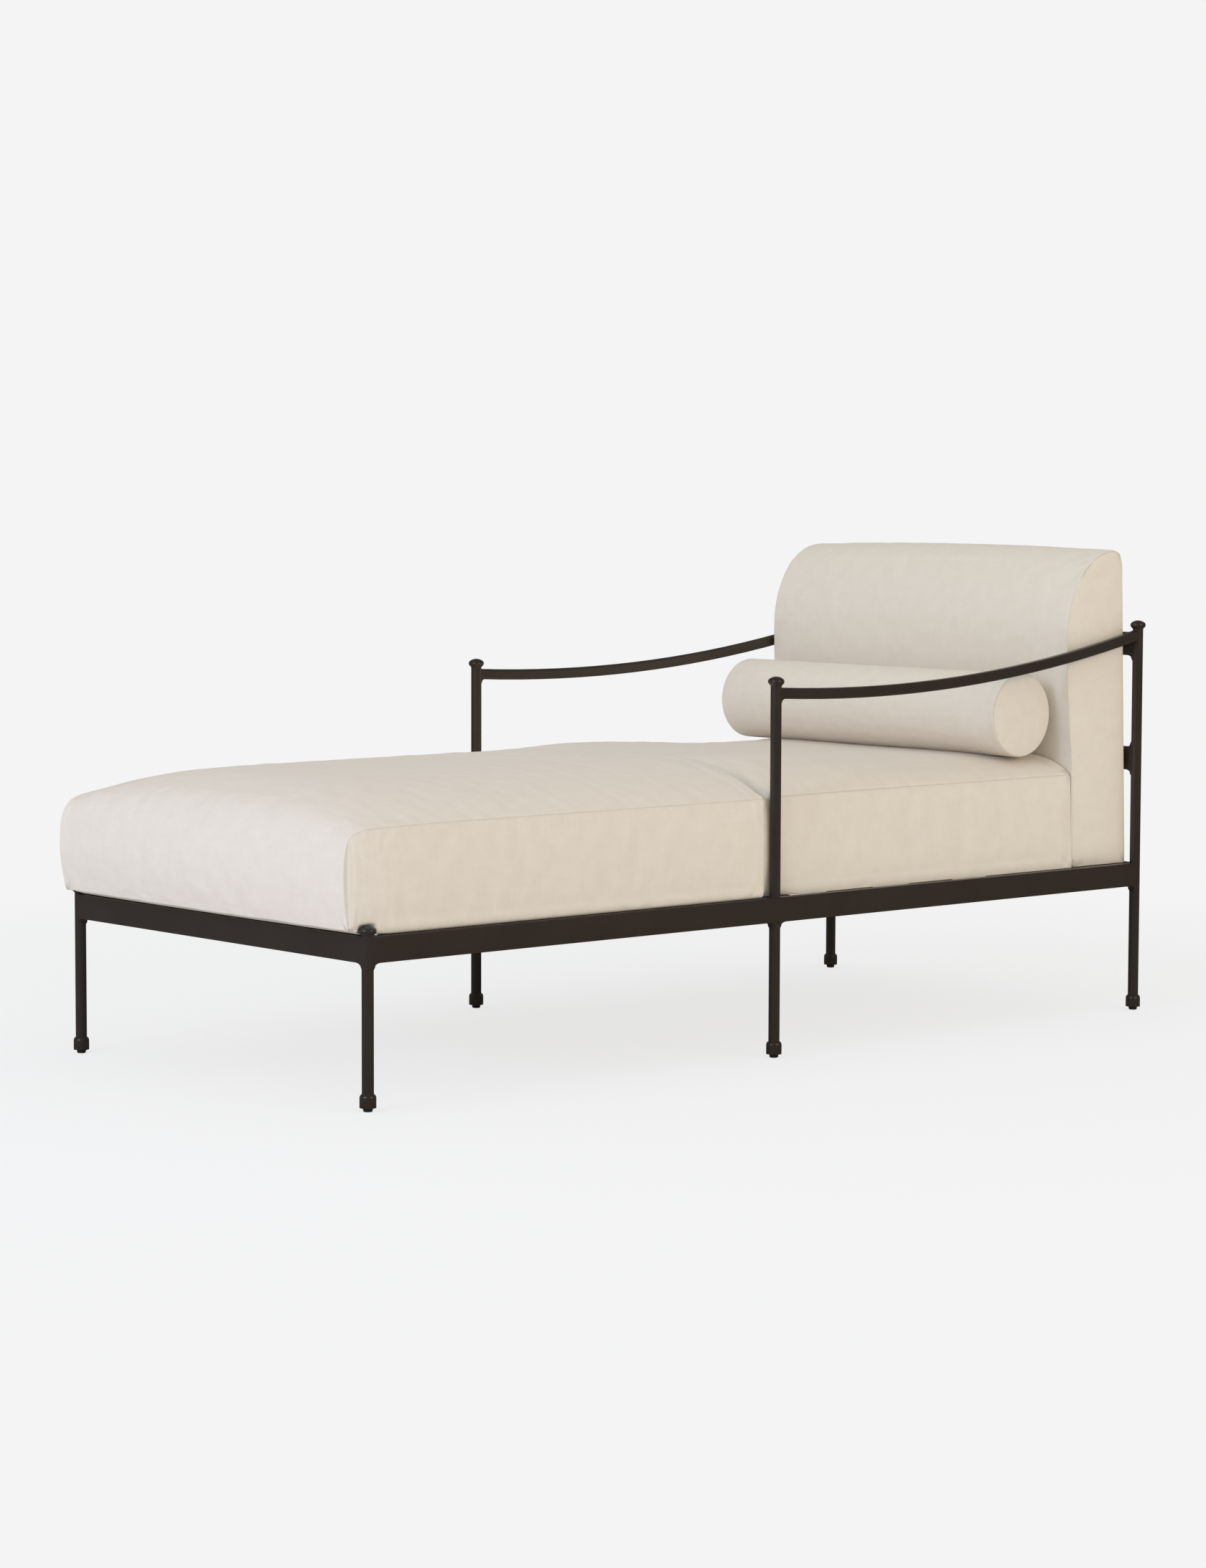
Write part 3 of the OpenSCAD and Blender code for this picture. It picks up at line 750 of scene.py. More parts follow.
@dataclass
class Cushion:
    """Shared ways of a padded piece: swelling, smoothing and stitches.

    one_cloth lists the panels that pass into each other without a seam, and fold is the
    height that the folds are capped at.
    """

    finishes: Finishes
    name: str = "cushion"
    node: str = "cushion"
    body: str = "seat"
    slot: str = "seat_cloth"
    one_cloth: tuple[Panel, ...] = (Panel.FRONT, Panel.TOP)
    pressure: float = 4.0
    slack: float = 0.012
    fold: float = 2.4 * MM
    frames: int = 20
    batch: int = 600

    def sewn_rings(self, bm: bmesh.types.BMesh, count: int) -> list[set[bmesh.types.BMVert]]:
        """Points on the seams, then the rings of points beside them.

        Args:
            bm: The skin.
            count: Number of rings, the seams' own points among them.

        Returns:
            The rings, from the seams outwards.
        """
        panel = bm.faces.layers.int["panel"]
        seams = set()
        for edge in bm.edges:
            sides = {Panel(face[panel]) for face in edge.link_faces} - {Panel.BASE}
            if len(sides) > 1 and not sides <= set(self.one_cloth):
                seams.update(edge.verts)
        rings, known = [seams], set(seams)
        while len(rings) < count:
            ring = {e.other_vert(v) for v in rings[-1] for e in v.link_edges} - known
            rings.append(ring)
            known |= ring
        return rings

    def swell(self, bm: bmesh.types.BMesh) -> None:
        """Blow the cover up as cloth sewn along its seams, and keep the folds it makes.

        The measured form stays: the slow part of the motion is taken out again, and the
        rest is capped.

        Args:
            bm: The skin, whose points are moved.
        """
        panel = bm.faces.layers.int["panel"]
        held = set(self.sewn_rings(bm, 1)[0])
        for face in bm.faces:
            if face[panel] == Panel.BASE.value:
                held.update(face.verts)
        sewn = [v.index for v in held]
        rest = np.array([v.co for v in bm.verts])
        for vert in bm.verts:
            vert.co += vert.normal * noise.noise(vert.co * 9) * 0.8 * MM
        motion = self.blown(bm, sewn) - rest
        folds = motion - self.spread(bm, motion)
        folds[sewn] = 0
        length = np.linalg.norm(folds, axis=1, keepdims=True)
        folds *= np.tanh(length / self.fold) * self.fold / np.maximum(length, 1e-9)
        log.info(
            "%s swelled by up to %.1f mm, folds up to %.1f mm", self.name,
            np.linalg.norm(motion, axis=1).max() / MM, length.max() / MM,
        )
        for vert, place in zip(bm.verts, rest + folds):
            vert.co = place

    def blown(self, bm: bmesh.types.BMesh, sewn: list[int]) -> np.ndarray:
        """Points of the cover after its time under pressure.

        Args:
            bm: The skin.
            sewn: The points that are held.

        Returns:
            One row for each point.
        """
        mesh = bpy.data.meshes.new("cover")
        bm.to_mesh(mesh)
        cover = bpy.data.objects.new("cover", mesh)
        bpy.context.scene.collection.objects.link(cover)
        cover.vertex_groups.new(name="sewn").add(sewn, 1.0, "REPLACE")
        cloth = cover.modifiers.new("cloth", "CLOTH")
        settings = cloth.settings
        settings.quality = 5
        settings.mass = 0.02
        settings.tension_stiffness = settings.compression_stiffness = 6.0
        settings.shear_stiffness = 3.0
        settings.bending_stiffness = 0.15
        settings.air_damping = 2.0
        settings.shrink_min = -self.slack
        settings.use_pressure = True
        settings.uniform_pressure_force = self.pressure
        settings.effector_weights.gravity = 0.0
        settings.vertex_group_mass = "sewn"
        cloth.collision_settings.use_collision = False
        cloth.point_cache.frame_start, cloth.point_cache.frame_end = 1, self.frames
        for number in range(1, self.frames + 1):
            bpy.context.scene.frame_set(number)
        graph = bpy.context.evaluated_depsgraph_get()
        blown = cover.evaluated_get(graph).to_mesh()
        after = np.empty(len(bm.verts) * 3)
        blown.vertices.foreach_get("co", after)
        bpy.context.scene.frame_set(1)
        bpy.data.objects.remove(cover)
        return after.reshape(-1, 3)

    def spread(self, bm: bmesh.types.BMesh, motion: np.ndarray, rounds: int = 30) -> np.ndarray:
        """Slow part of a motion: each point takes on its neighbours' motion again and again."""
        ends = np.array([(e.verts[0].index, e.verts[1].index) for e in bm.edges])
        count = np.bincount(ends.ravel(), minlength=len(motion))[:, None]
        slow = motion.copy()
        for _ in range(rounds):
            total = np.zeros_like(slow)
            np.add.at(total, ends[:, 0], slow[ends[:, 1]])
            np.add.at(total, ends[:, 1], slow[ends[:, 0]])
            slow = 0.4 * slow + 0.6 * total / count
        return slow

    def finish(self, bm: bmesh.types.BMesh) -> bpy.types.Object:
        """Make the skin an object, smooth it once and tell the frame what it stands for."""
        for name in GRID_LAYERS:
            layer = bm.verts.layers.float.get(name)
            if layer:
                bm.verts.layers.float.remove(layer)
        piece = add_piece(self.name, bm, self.finishes.named(self.slot))
        smooth = piece.modifiers.new("smooth", "SUBSURF")
        smooth.levels = smooth.render_levels = 1
        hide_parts(self.node)
        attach(piece, self.body)
        return piece

    def stitch(self, piece: bpy.types.Object, lines: list[list[Vector]]) -> bpy.types.Object:
        """Lay rows of stitches on the finished cover.

        Args:
            piece: The cover.
            lines: Paths along the seams, each a row of points near the cover.

        Returns:
            The stitches as one object.
        """
        skin = evaluated_copy(piece)
        tree = BVHTree.FromPolygons(
            [v.co for v in skin.vertices], [list(p.vertices) for p in skin.polygons]
        )
        total = bmesh.new()
        for line in lines:
            left = 0.0
            bm = bmesh.new()
            for start, end in zip(line, line[1:]):
                run = (end - start).length
                while left < run:
                    spot, out, _, _ = tree.find_nearest(start.lerp(end, left / run))
                    along = (end - start).normalized()
                    along = (along - out * along.dot(out)).normalized()
                    turn = Matrix((out.cross(along), -out, along)).transposed().to_4x4()
                    size = Matrix.Diagonal((STITCH_R * 1.3, STITCH_R, STITCH_L / 2, 1))
                    place = Matrix.Translation(spot + out * STITCH_R * 0.1) @ turn @ size
                    bmesh.ops.create_uvsphere(
                        bm, u_segments=6, v_segments=4, radius=1.0, matrix=place
                    )
                    left += STITCH_PITCH
                    if len(bm.verts) > self.batch:
                        pour(bm, total)
                left -= run
            pour(bm, total)
            bm.free()
        bpy.data.meshes.remove(skin)
        row = add_piece(f"{self.body}_stitches", total, self.finishes.named("sewing_thread"))
        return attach(row, self.body)


@dataclass
class BoxedCushion(Cushion):
    """A cushion of six panels: cloth maps, and seams that are pressed in.

    pinch is how far the cloth stands out on the seams and on the rings of points
    beside them.
    """

    pinch: tuple[float, ...] = (-1.5 * MM, 0.2 * MM, 0.8 * MM, 0.5 * MM)
    foot_y: float = field(init=False, default=0.0)
    base: float = field(init=False, default=0.0)

    def __post_init__(self) -> None:
        """Note where the foot legs and the cushion's base are."""
        self.foot_y = middle_of("foot_cup_foot_left").y
        self.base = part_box(self.node)[0].z

    def cover(self, along: list[float], up: list[float]) -> bpy.types.Object:
        """Cut, sew and swell the cover.

        Args:
            along: Grid lines along the cushion, as its shape reads them.
            up: Grid lines from 0 at the base to 1 at the top.

        Returns:
            The finished cover.
        """
        half = graded((0.0, 0.010, 0.005), (0.010, 0.052, 0.014), (0.052, 1.0, 0.042))
        across = [-1 + k for k in half] + [1 - k for k in reversed(half[:-1])]
        bm = GridSkin(across, along, up).make(self.shape)
        self.cloth_maps(bm)
        self.press_seams(bm)
        self.swell(bm)
        return self.finish(bm)

    def cloth_maps(self, bm: bmesh.types.BMesh) -> None:
        """Lay the weave map and the seam map, both in metres, on each panel.

        Args:
            bm: The skin.
        """
        panel = bm.faces.layers.int["panel"]
        layers = [bm.verts.layers.float[name] for name in GRID_LAYERS]
        weave = bm.loops.layers.uv.new("weave")
        seam = bm.loops.layers.uv.new("seam")
        for face in bm.faces:
            which = Panel(face[panel])
            for loop in face.loops:
                grid = tuple(loop.vert[layer] for layer in layers)
                loop[weave].uv = self.flat(which, loop.vert.co)
                loop[seam].uv = self.to_seam(which, loop.vert.co, grid)

    def press_seams(self, bm: bmesh.types.BMesh) -> None:
        """Draw the seams in and let the cloth stand up beside them."""
        bm.normal_update()
        moves = [
            (vert, vert.normal * depth)
            for ring, depth in zip(self.sewn_rings(bm, len(self.pinch)), self.pinch)
            for vert in ring
        ]
        for vert, move in moves:
            vert.co += move


@dataclass
class SeatCushion(BoxedCushion):
    """T-shaped seat cushion: one panel over the foot face and the top, and boxed sides.

    Distances along it are taken from the foot legs. nose_line gives the foot face's place
    by its height above the base, and seam_line the top seams' height by the distance
    along, both in millimetres.
    """

    name: str = "seat_cover"
    node: str = "seat_cushion"
    stitch_at: float = 0.982
    # Outline and height
    front_half: float = 381.5 * MM
    rear_half: float = 364.5 * MM
    side_tall: float = 160 * MM
    face_tall: float = 142 * MM
    notch: tuple[float, float] = (793 * MM, 805 * MM)
    taper: float = 13 * MM
    taper_run: float = 35 * MM
    puff: float = 3.0 * MM
    hem: tuple[float, float] = (5 * MM, 12 * MM)
    # Crown over the whole top
    crown_foot: float = 53 * MM
    crown_head: float = 34 * MM
    crown_run: float = 60 * MM
    crown_falls: tuple[float, float] = (852 * MM, 1342 * MM)
    crown_narrows: tuple[float, float] = (600 * MM, 1000 * MM)
    crown_fills: tuple[float, float] = (700 * MM, 1100 * MM)
    crown_power: tuple[float, float] = (3.5, 10.0)
    # Creases that run inwards from the notches
    crease: float = 9 * MM
    crease_run: float = 24 * MM
    crease_wide: tuple[float, float] = (9 * MM, 14 * MM)
    crease_start: float = 8 * MM
    crease_slant: float = 0.4
    # Part between the arms
    rear_from: tuple[float, float] = (845 * MM, 872 * MM)
    rear_foot: float = 7.0 * MM
    rear_hollow: float = 16 * MM
    # Room for the foot rail and the finials on it
    lift: float = 8.5 * MM
    lift_uneven: float = 0.25
    finial_lift: float = 3.5 * MM
    finial_room: float = 15.3 * MM
    finial_wide: tuple[float, float] = (6 * MM, 19 * MM)
    finial_tall: tuple[float, float] = (10 * MM, 19 * MM)
    # Foot face
    nose: float = 42 * MM
    nose_crown: float = 12 * MM
    nose_run: float = 120 * MM
    nose_line: tuple[tuple[float, float], ...] = (
        (0.0, -22), (4, -27.0), (12, -31.5), (24, -35), (49, -39), (82, -42), (112, -40),
        (129, -36.5), (142, -31),
    )
    seam_line: tuple[tuple[float, float], ...] = (
        (-31, 142), (-26, 147.3), (-19, 152), (-10, 155.3), (0.0, 157.2), (30, 158.6),
        (61, 159.3), (123, 160.2), (347, 160), (800, 160), (1540, 161),
    )
    front: float = field(init=False, default=0.0)
    rear: float = field(init=False, default=0.0)

    def build(self) -> list[bpy.types.Object]:
        """Build the cover and its stitches."""
        self.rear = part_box(self.node)[1].y - self.foot_y
        self.front = self.seam_line[0][0] * MM
        along = graded(
            (self.front, 20 * MM, 3 * MM), (20 * MM, 35 * MM, 5 * MM), (35 * MM, 60 * MM, 9 * MM),
            (60 * MM, 765 * MM, 15.5 * MM), (765 * MM, 830 * MM, 5 * MM),
            (830 * MM, self.rear - 40 * MM, 15.5 * MM),
            (self.rear - 40 * MM, self.rear - 6 * MM, 8 * MM),
            (self.rear - 6 * MM, self.rear, 3 * MM),
        )
        up = graded(
            (0.0, 0.03, 0.015), (0.03, 0.135, 0.0175), (0.135, 0.9, 0.075),
            (0.9, 0.97, 0.04), (0.97, 1.0, 0.015),
        )
        piece = self.cover(along, up)
        rows = []
        for u in (-1, 1):
            rows.append([self.shape(u, y, self.stitch_at) for y in along[1:]])
            rows.append([self.shape(u, along[1], w) for w in up[2:-1]])
        return [piece, self.stitch(piece, rows)]

    def half_width(self, y: float) -> float:
        """Half width between the side seams at a distance along."""
        narrow = (self.front_half - self.rear_half) * ease(*self.notch, y)
        return self.front_half - self.taper * math.exp(-(y + self.nose) / self.taper_run) - narrow

    def crown(self, u: float, y: float) -> float:
        """Crown above the side seams at a place across and a distance along."""
        fuller = ease(*self.crown_fills, y)
        power = self.crown_power[0] + (self.crown_power[1] - self.crown_power[0]) * fuller
        fall = (self.crown_foot - self.crown_head) * ease(*self.crown_falls, y)
        tall = self.crown_foot * (1 - math.exp(-(y + self.nose) / self.crown_run)) - fall
        return tall * crowned(u, power)

    def valley(self, x: float, y: float) -> float:
        """Depth of the crease that runs inwards from each notch."""
        inward = self.rear_half - abs(x)
        line = self.notch[0] + self.crease_start + self.crease_slant * max(inward, 0)
        fade = math.exp(-max(inward, 0) / self.crease_run)
        fade *= ease(-2 * MM, 12 * MM, inward + self.crease_start)
        behind = (y - line) / self.crease_wide[1 if y > line else 0]
        return self.crease * fade * math.exp(-behind * behind)

    def hem_in(self, height: float, deep: float, tall: float) -> float:
        """How far a panel is drawn in at a height above the base, for a rounded lower edge."""
        if height >= tall:
            return 0.0
        return deep * (1 - math.sqrt(1 - (1 - height / tall) ** 2))

    def height(self, u: float, y: float, w: float) -> float:
        """Height above the base before the crown, with the foot edge lifted off the rail.

        Args:
            u: From -1 at the left seam to 1 at the right seam.
            y: Distance along.
            w: From 0 at the base to 1 at the seam.

        Returns:
            The height.
        """
        uneven = 1 + self.lift_uneven * noise.noise((u * 5, 0, 7))
        lift = self.lift * (1 - ease(self.front, 5 * MM, y)) * uneven
        beside = ease(0.95, 1.0, abs(u)) * math.exp(-max(y - 10 * MM, 0) / (18 * MM))
        clear = self.finial_lift * beside * (1 - w) ** 4 * ease(12 * MM, 24 * MM, y)
        return lift + (through(self.seam_line, y / MM) * MM - lift) * w + clear

    def shape(self, u: float, y: float, w: float) -> Vector:
        """Point of the cushion for a place across, a distance along and a share of the height.

        Args:
            u: From -1 at the left seam to 1 at the right seam.
            y: Distance along.
            w: From 0 at the base to 1 at the seam.

        Returns:
            The point in the row's frame.
        """
        front = self.front
        height = self.height(u, y, w)
        nose_y = through(self.nose_line, height / MM) * MM
        behind_nose = y + max(nose_y - front, 0) * (1 - ease(front, 0, y))
        reach = nose_y if y <= front + 1e-6 else behind_nose
        behind = ease(*self.rear_from, y)
        x_limit = self.half_width(y) + self.puff * math.sin(math.pi * w) ** 0.6
        x_limit -= (1 - behind) * self.hem_in(height, *self.hem) + self.finial_dent(reach, height)
        x_limit += behind * self.rear_foot * (1 - w) ** 4
        x = u * x_limit
        nose_out = self.nose_crown * crowned(u, 2) * (1 - ease(front, self.nose_run, y))
        nose_out *= 0.35 + 0.65 * math.sin(math.pi * w)
        rear_in = self.rear_hollow * crowned(u, 2.6) * ease(self.rear - 0.2, self.rear, y)
        if y >= self.rear - 1e-6:
            rear_in += self.hem_in(height, *self.hem)
        z = height + self.crown(self.crown_place(u, y), y) * w
        if w == 1:
            z -= self.valley(x, y)
        return Vector((x, self.foot_y + reach - nose_out - rear_in, self.base + z))

    def crown_place(self, u: float, y: float) -> float:
        """Place across that the crown is read at, so that it narrows slowly past the notch."""
        step = ease(*self.notch, y) - ease(*self.crown_narrows, y)
        wide = self.half_width(y) + (self.front_half - self.rear_half) * step
        edge = ease(0.7, 1.0, abs(u))
        return u * (edge + (1 - edge) * self.half_width(y) / wide)

    def finial_dent(self, y: float, height: float) -> float:
        """How far the lower edge stands back to clear the foot finials."""
        near = 1 - ease(*self.finial_wide, abs(y))
        low = 0.3 + 0.7 * ease(-2 * MM, 6 * MM, height)
        return self.finial_room * near * low * (1 - ease(*self.finial_tall, height))

    def flat(self, panel: Panel, co: Vector) -> tuple[float, float]:
        """Place on the cloth, in metres, of a point on a panel."""
        if panel in (Panel.LEFT, Panel.RIGHT):
            return (co.y, co.z)
        if panel is Panel.FRONT:
            return (co.x, self.foot_y + self.front - (self.base + self.face_tall - co.z))
        if panel is Panel.REAR:
            return (co.x, -co.z)
        return (co.x, co.y)

    def to_seam(
        self, panel: Panel, co: Vector, grid: tuple[float, float, float]
    ) -> tuple[float, float]:
        """Distance from the nearest seam, and the place along it."""
        u, y, w = grid
        if panel in (Panel.LEFT, Panel.RIGHT):
            front = (y - self.front, self.flat(Panel.FRONT, co)[1])
            hem = (w * self.side_tall, co.y + 4)
            return min(((1 - w) * self.side_tall, co.y), front, (self.rear - y, co.z + 1), hem)
        side = (1 - abs(u)) * self.front_half
        if panel is Panel.FRONT:
            return min((side, self.flat(panel, co)[1]), (w * self.face_tall, co.x + 6))
        if panel is Panel.TOP:
            return min((side, co.y), (self.rear - y, co.x + 3))
        return (side, co.y)


@dataclass
class BackCushion(BoxedCushion):
    """Boxed back cushion: the front runs over a rounded top edge to the rear.

    gap is the room between the head legs' axes and the cushion.
    """

    name: str = "back_cover"
    node: str = "back_cushion"
    body: str = "back"
    slot: str = "back_cloth"
    one_cloth: tuple[Panel, ...] = (Panel.FRONT, Panel.TOP, Panel.REAR)
    pinch: tuple[float, ...] = (-1.0 * MM, 0.1 * MM, 0.5 * MM, 0.3 * MM)
    fold: float = 1.2 * MM
    half: float = 364.8 * MM
    puff: float = 1.9 * MM
    thick: float = 143 * MM
    tall: float = 546 * MM
    curve_y: float = 121 * MM
    curve_z: float = 147 * MM
    crown_front: float = 16 * MM
    crown_top: float = 8 * MM
    lean_front: float = 14 * MM
    lean_rear: float = 17 * MM
    lean_from: float = 194 * MM
    gap: float = 10.8 * MM
    arch: float = 16.5 * MM
    rear_round: float = 7 * MM
    rear_full: float = 0.5 * MM
    hem: float = 4 * MM
    hem_tall: float = 20 * MM
    stitch_at: float = 0.03
    rear_y: float = field(init=False, default=0.0)
    front_y: float = field(init=False, default=0.0)

    def build(self) -> list[bpy.types.Object]:
        """Build the cover and its stitches."""
        self.rear_y = middle_of("foot_cup_head_left").y - self.foot_y - self.gap
        self.front_y = self.rear_y - self.thick
        along = [
            0, 0.016, 0.04, 0.09, 0.17, 0.26, 0.36, 0.47, 0.58, 0.69, 0.79, 0.88, 0.94, 0.975, 1
        ]
        up = graded((0.0, 0.01, 0.005), (0.01, 0.04, 0.015), (0.04, 0.9, 0.026), (0.9, 1.0, 0.017))
        piece = self.cover(along, up)
        rows = [
            [self.shape(u, v, w) for w in up[1:]]
            for v in (self.stitch_at, 1 - self.stitch_at) for u in (-1, 1)
        ]
        return [piece, self.stitch(piece, rows)]

    def front(self, z: float) -> float:
        """Place of the front seam at a height above the base."""
        curve_from = self.tall - self.curve_z
        above = max(z - curve_from, 0) / self.curve_z
        below = min(max((curve_from - z) / (curve_from - self.lean_from), 0), 1)
        lean = self.lean_front * (1 - below * below)
        hem = self.hem * max(1 - z / self.hem_tall, 0) ** 2
        return self.front_y - lean + hem + self.curve_y * (1 - math.sqrt(max(1 - above * above, 0)))

    def shape(self, u: float, v: float, w: float) -> Vector:
        """Point of the cushion for a place across, a share of the thickness and of the height.

        Args:
            u: From -1 at the left seam to 1 at the right seam.
            v: From 0 at the front seam to 1 at the rear seam.
            w: From 0 at the base to 1 at the top.

        Returns:
            The point in the row's frame.
        """
        front_z = w * (self.tall - 0.2 * self.curve_z)
        rear_z = w * (self.tall - 9 * MM)
        lean = self.lean_rear * rear_z / self.tall
        rear = self.rear_y - lean - self.rear_round * ease(self.tall - 30 * MM, self.tall, rear_z)
        arch = self.arch * (1 - (1 - v) ** 4) * (1 - v**6) * w**12
        top = self.crown_top * crowned(u, 2.4) * w**6
        out = self.crown_front * crowned(u, 2.6) * (1 - 0.5 * ease(0.8, 1, w)) * (1 - v)
        back = (lean + self.rear_full) * crowned(u, 2) * (1 - ease(0.75, 1, w)) * v
        edge = min(v, 1 - v) * self.thick
        x = u * (self.half + self.puff * (1 - math.exp(-edge / (7 * MM))))
        x -= u * 1 * MM * max(1 - front_z / (10 * MM), 0) ** 2
        y = self.front(front_z) * (1 - v) + rear * v - out + back
        z = front_z * (1 - v) + rear_z * v + arch + top
        return Vector((x, self.foot_y + y, self.base + z))

    def flat(self, panel: Panel, co: Vector) -> tuple[float, float]:
        """Place on the cloth, in metres, of a point on a panel."""
        if panel in (Panel.LEFT, Panel.RIGHT):
            return (co.y, co.z)
        if panel is Panel.TOP:
            return (co.x, self.base + self.tall + co.y - self.foot_y - self.front_y)
        if panel is Panel.BASE:
            return (co.x, co.y)
        return (co.x, co.z)

    def to_seam(
        self, panel: Panel, co: Vector, grid: tuple[float, float, float]
    ) -> tuple[float, float]:
        """Distance from the nearest seam, and the place along it."""
        u, v, w = grid
        if panel in (Panel.LEFT, Panel.RIGHT):
            return min(
                (v * self.thick, co.z), ((1 - v) * self.thick, co.z + 1),
                ((1 - w) * self.tall, co.y + 2), (w * self.tall, co.y + 5),
            )
        side = (1 - abs(u)) * self.half
        return (side, co.y if panel is Panel.TOP else co.z)


@dataclass
class Bolster(Cushion):
    """Round bolster with sewn-in end discs."""

    name: str = "bolster_cover"
    node: str = "bolster"
    body: str = "roll"
    slot: str = "bolster_cloth"
    dome: float = 7 * MM
    rim: float = 0.5 * MM
    fold: float = 1.0 * MM

    def build(self) -> list[bpy.types.Object]:
        """Build the roll and its stitches."""
        low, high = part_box(self.node)
        centre = (low + high) / 2
        radius = (high.z - low.z) / 2
        half = (high.x - low.x) / 2 - self.dome
        bm = self.roll(half, radius)
        self.cloth_maps(bm, half, radius)
        bmesh.ops.translate(bm, verts=bm.verts, vec=centre)
        bm.verts.index_update()
        bm.normal_update()
        self.swell(bm)
        piece = self.finish(bm)
        row_r = radius - self.rim - 3 * MM
        turns = [math.radians(3 * k) for k in range(121)]
        rows = [
            [centre + Vector((x, row_r * math.cos(turn), row_r * math.sin(turn))) for turn in turns]
            for x in (-half - 1.5 * MM, half + 1.5 * MM)
        ]
        return [piece, self.stitch(piece, rows)]

    def roll(self, half: float, radius: float) -> bmesh.types.BMesh:
        """Spin the outline of one half, from the end's middle out, and mirror it.

        Args:
            half: Half length between the two seams.
            radius: Radius of the roll.

        Returns:
            The closed roll round the X axis.
        """
        seam_r = radius - self.rim
        outline = [
            Vector((half + self.dome * (1 - t**2.6), 0, seam_r * t))
            for t in (0.03, 0.15, 0.3, 0.45, 0.6, 0.72, 0.82, 0.89, 0.94, 0.97)
        ]
        for beyond, sunk in ((0.9 * MM, 0.3 * MM), (0, 1.6 * MM), (-1.6 * MM, 0.1 * MM)):
            outline.append(Vector((half + beyond, 0, seam_r - sunk)))
        body = graded((0.006, 0.012, 0.006), (0.012, 0.05, 0.014), (0.05, 1.0, 0.044))
        outline += [Vector((half * (1 - t), 0, radius)) for t in body]
        bm = bmesh.new()
        verts = [bm.verts.new(p) for p in outline]
        edges = [bm.edges.new(pair) for pair in zip(verts, verts[1:])]
        bmesh.ops.spin(
            bm, geom=verts + edges, cent=(0, 0, 0), axis=(1, 0, 0),
            angle=2 * math.pi, steps=84, use_merge=True,
        )
        everything = bm.verts[:] + bm.edges[:] + bm.faces[:]
        bmesh.ops.mirror(bm, geom=everything, axis="X", merge_dist=1e-5)
        bmesh.ops.remove_doubles(bm, verts=bm.verts, dist=1e-6)
        bmesh.ops.holes_fill(bm, edges=bm.edges, sides=0)
        bmesh.ops.recalc_face_normals(bm, faces=bm.faces)
        return bm

    def cloth_maps(self, bm: bmesh.types.BMesh, half: float, radius: float) -> None:
        """Sort the faces into roll and ends, and lay their weave and seam maps in metres.

        Args:
            bm: The roll round the X axis.
            half: Half length between the two seams.
            radius: Radius of the roll.
        """
        panel = bm.faces.layers.int.new("panel")
        weave = bm.loops.layers.uv.new("weave")
        seam = bm.loops.layers.uv.new("seam")
        for face in bm.faces:
            middle = face.calc_center_median()
            is_end = abs(middle.x) > half
            end = Panel.RIGHT if middle.x > 0 else Panel.LEFT
            face[panel] = (end if is_end else Panel.TOP).value
            turn = math.atan2(middle.z, middle.y)
            for loop in face.loops:
                co = loop.vert.co
                angle = math.atan2(co.z, co.y)
                angle += 2 * math.pi * round((turn - angle) / (2 * math.pi))
                away = radius - self.rim - math.hypot(co.y, co.z) if is_end else half - abs(co.x)
                loop[weave].uv = (co.y, co.z) if is_end else (co.x, angle * radius)
                loop[seam].uv = (away, angle * radius)


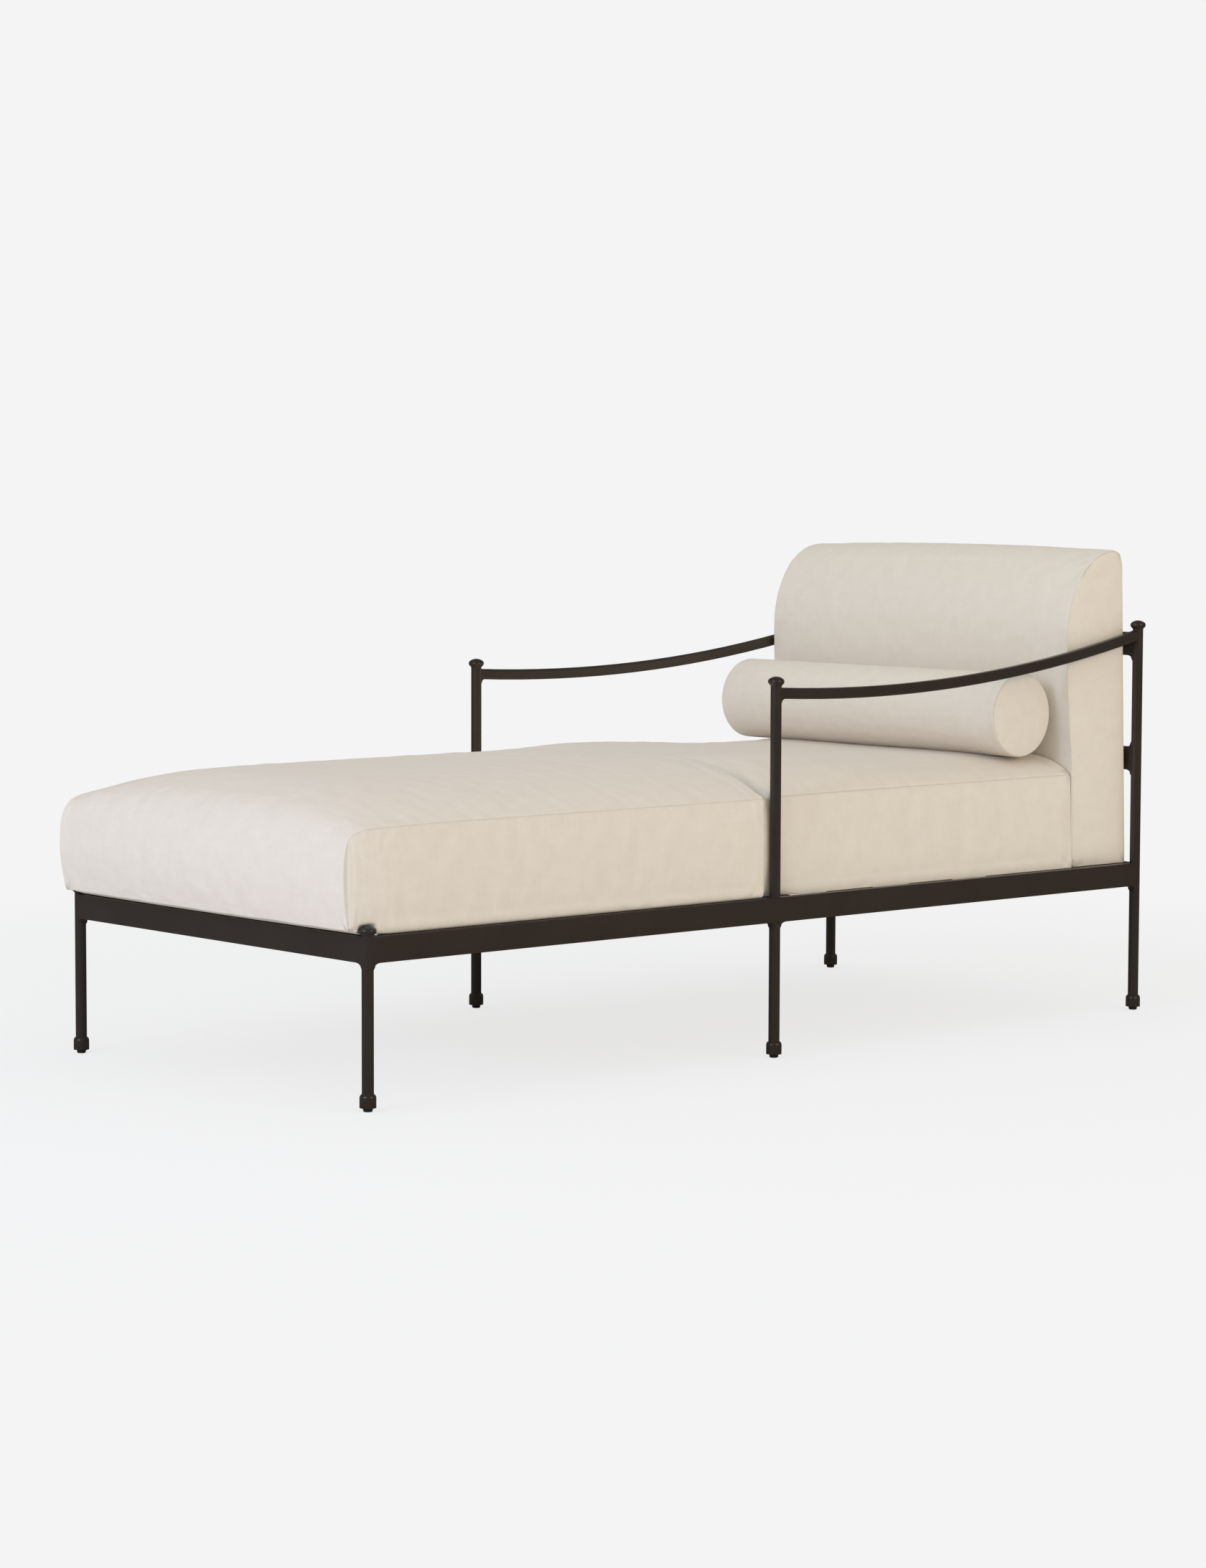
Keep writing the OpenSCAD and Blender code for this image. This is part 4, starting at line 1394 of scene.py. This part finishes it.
@dataclass
class Studio:
    """Floor, backdrop, lights and camera.

    The camera's angles are in degrees and its focal length in pixels of a picture that is
    tall_px high. paper is the grey of floor and backdrop, and flagged the share of both
    that glossy surfaces don't see.
    """

    paper: float = 0.905
    shadow_share: float = 0.19
    shadow_reach: tuple[float, float] = (1.5, 2.6)
    # Camera
    eye: tuple[float, float, float] = (4.8041, -4.2392, 0.9304)
    yaw: float = 48.842
    pitch: float = -4.583
    roll: float = 0.170
    focal_px: float = 5354.87
    tall_px: float = 2185.0
    sensor: float = 36.0
    # Light
    sky: Colour = (0.612, 0.600, 0.620)
    zenith: Colour = (0.08, 0.08, 0.08)
    foot_wall: Colour = (0.254, 0.355, 0.240)
    right_wall: Colour = (0.0, 0.080, 0.0)
    key: Colour = (0.200, 0.213, 0.333)
    fill: Colour = (0.190, 0.148, 0.130)
    key_place: tuple[float, float, float] = (0.8, -5.0, 2.2)
    fill_place: tuple[float, float, float] = (4.8, 0.8, 2.2)
    box_size: float = 1.2
    flagged: float = 0.75

    def camera(self) -> None:
        """Place the camera at the photograph's viewpoint."""
        data = bpy.data.cameras.new("camera")
        data.sensor_fit = "AUTO"
        data.sensor_width = self.sensor
        data.lens = self.focal_px * self.sensor / self.tall_px
        data.clip_end = 100
        turn = (
            Matrix.Rotation(math.radians(self.yaw), 4, "Z")
            @ Matrix.Rotation(math.radians(90 + self.pitch), 4, "X")
            @ Matrix.Rotation(math.radians(self.roll), 4, "Z")
        )
        eye = bpy.data.objects.new("camera", data)
        eye.matrix_world = Matrix.Translation(self.eye) @ turn
        bpy.context.scene.collection.objects.link(eye)
        bpy.context.scene.camera = eye

    def floor(self) -> None:
        """Lay a pale floor that keeps a faint shadow and fades to the backdrop's colour."""
        bm = bmesh.new()
        bmesh.ops.create_grid(bm, x_segments=8, y_segments=8, size=30)
        g = Graph("floor_paper")
        length = g.add("ShaderNodeVectorMath", operation="LENGTH")
        g.link(g.place(), length.inputs[0])
        near = g.window(length.outputs["Value"], *reversed(self.shadow_reach))
        share = g.math("MULTIPLY", near, self.shadow_share)
        path = g.add("ShaderNodeLightPath")
        lit = g.math("SUBTRACT", 1.0, path.outputs["Is Camera Ray"])
        mat = g.add("ShaderNodeBsdfDiffuse")
        dim = g.math("MULTIPLY", path.outputs["Is Glossy Ray"], self.flagged)
        g.link(g.math("MULTIPLY", g.math("SUBTRACT", 1.0, dim), self.paper), mat.inputs["Color"])
        glow = g.add("ShaderNodeEmission", Color=(self.paper, self.paper, self.paper, 1))
        g.blend(g.math("MAXIMUM", share, lit), glow, mat)
        add_piece("studio_floor", bm, g.material)

    def backdrop(self) -> None:
        """Light the world softly, with more light from the foot end and from the right."""
        world = bpy.data.worlds.new("studio")
        bpy.context.scene.world = world
        world.use_nodes = True
        g = Graph("studio_world", world.node_tree)
        axes = g.add("ShaderNodeSeparateXYZ")
        g.link(g.add("ShaderNodeTexCoord").outputs["Generated"], axes.inputs["Vector"])
        foot = g.math("MAXIMUM", g.math("MULTIPLY", axes.outputs["Y"], -1.0), 0.0)
        right = g.math("MAXIMUM", axes.outputs["X"], 0.0)
        above = g.math("MAXIMUM", axes.outputs["Z"], 0.0)
        tone = g.glow_sum(
            (self.sky, 1.0), (self.zenith, above), (self.foot_wall, foot), (self.right_wall, right)
        )
        path = g.add("ShaderNodeLightPath")
        dim = g.math("MULTIPLY", path.outputs["Is Glossy Ray"], self.flagged)
        seen = g.math("MAXIMUM", path.outputs["Is Camera Ray"], path.outputs["Is Transmission Ray"])
        shown = g.add("ShaderNodeBackground", Color=(self.paper, self.paper, self.paper, 1))
        fill = g.add("ShaderNodeBackground")
        g.link(tone, fill.inputs["Color"])
        g.link(g.math("SUBTRACT", 1.0, dim), fill.inputs["Strength"])
        g.blend(seen, fill, shown)

    def lamp(self, name: str, place: tuple[float, float, float], light: Colour) -> None:
        """Hang a soft box that looks at the middle of the piece.

        Args:
            name: Name of the lamp.
            place: Where it hangs, in metres.
            light: Light on a surface that faces the lamp, where 1 shows white as white.
        """
        level = max(light)
        aim = Vector((0, 0, 0.35)) - Vector(place)
        data = bpy.data.lights.new(name, "AREA")
        data.shape = "SQUARE"
        data.size = self.box_size
        data.energy = level * math.pi**2 * aim.length_squared
        data.color = [part / level for part in light]
        lamp = bpy.data.objects.new(name, data)
        lamp.location = place
        lamp.rotation_euler = aim.to_track_quat("-Z", "Y").to_euler()
        bpy.context.scene.collection.objects.link(lamp)

    def build(self) -> None:
        """Set up the whole studio."""
        bpy.context.scene.view_settings.view_transform = "Standard"
        self.camera()
        self.floor()
        self.backdrop()
        self.lamp("key_box", self.key_place, self.key)
        self.lamp("fill_box", self.fill_place, self.fill)


def main() -> None:
    """Build the studio, the frame and the cushions in order."""
    logging.basicConfig(level=logging.INFO, format="%(name)s: %(message)s")
    Studio().build()
    finishes = Finishes()
    metal = MetalFrame(finishes)
    metal.dress()
    log.info("dressed %d CAD nodes", len(frame["nodes"]))
    pieces = [metal.weld()]
    for kind in (SeatCushion, BackCushion, Bolster):
        pieces += kind(finishes).build()
    for piece in pieces:
        log.info("built %s with %d faces", piece.name, len(piece.data.polygons))


if __name__ == "__main__":
    main()
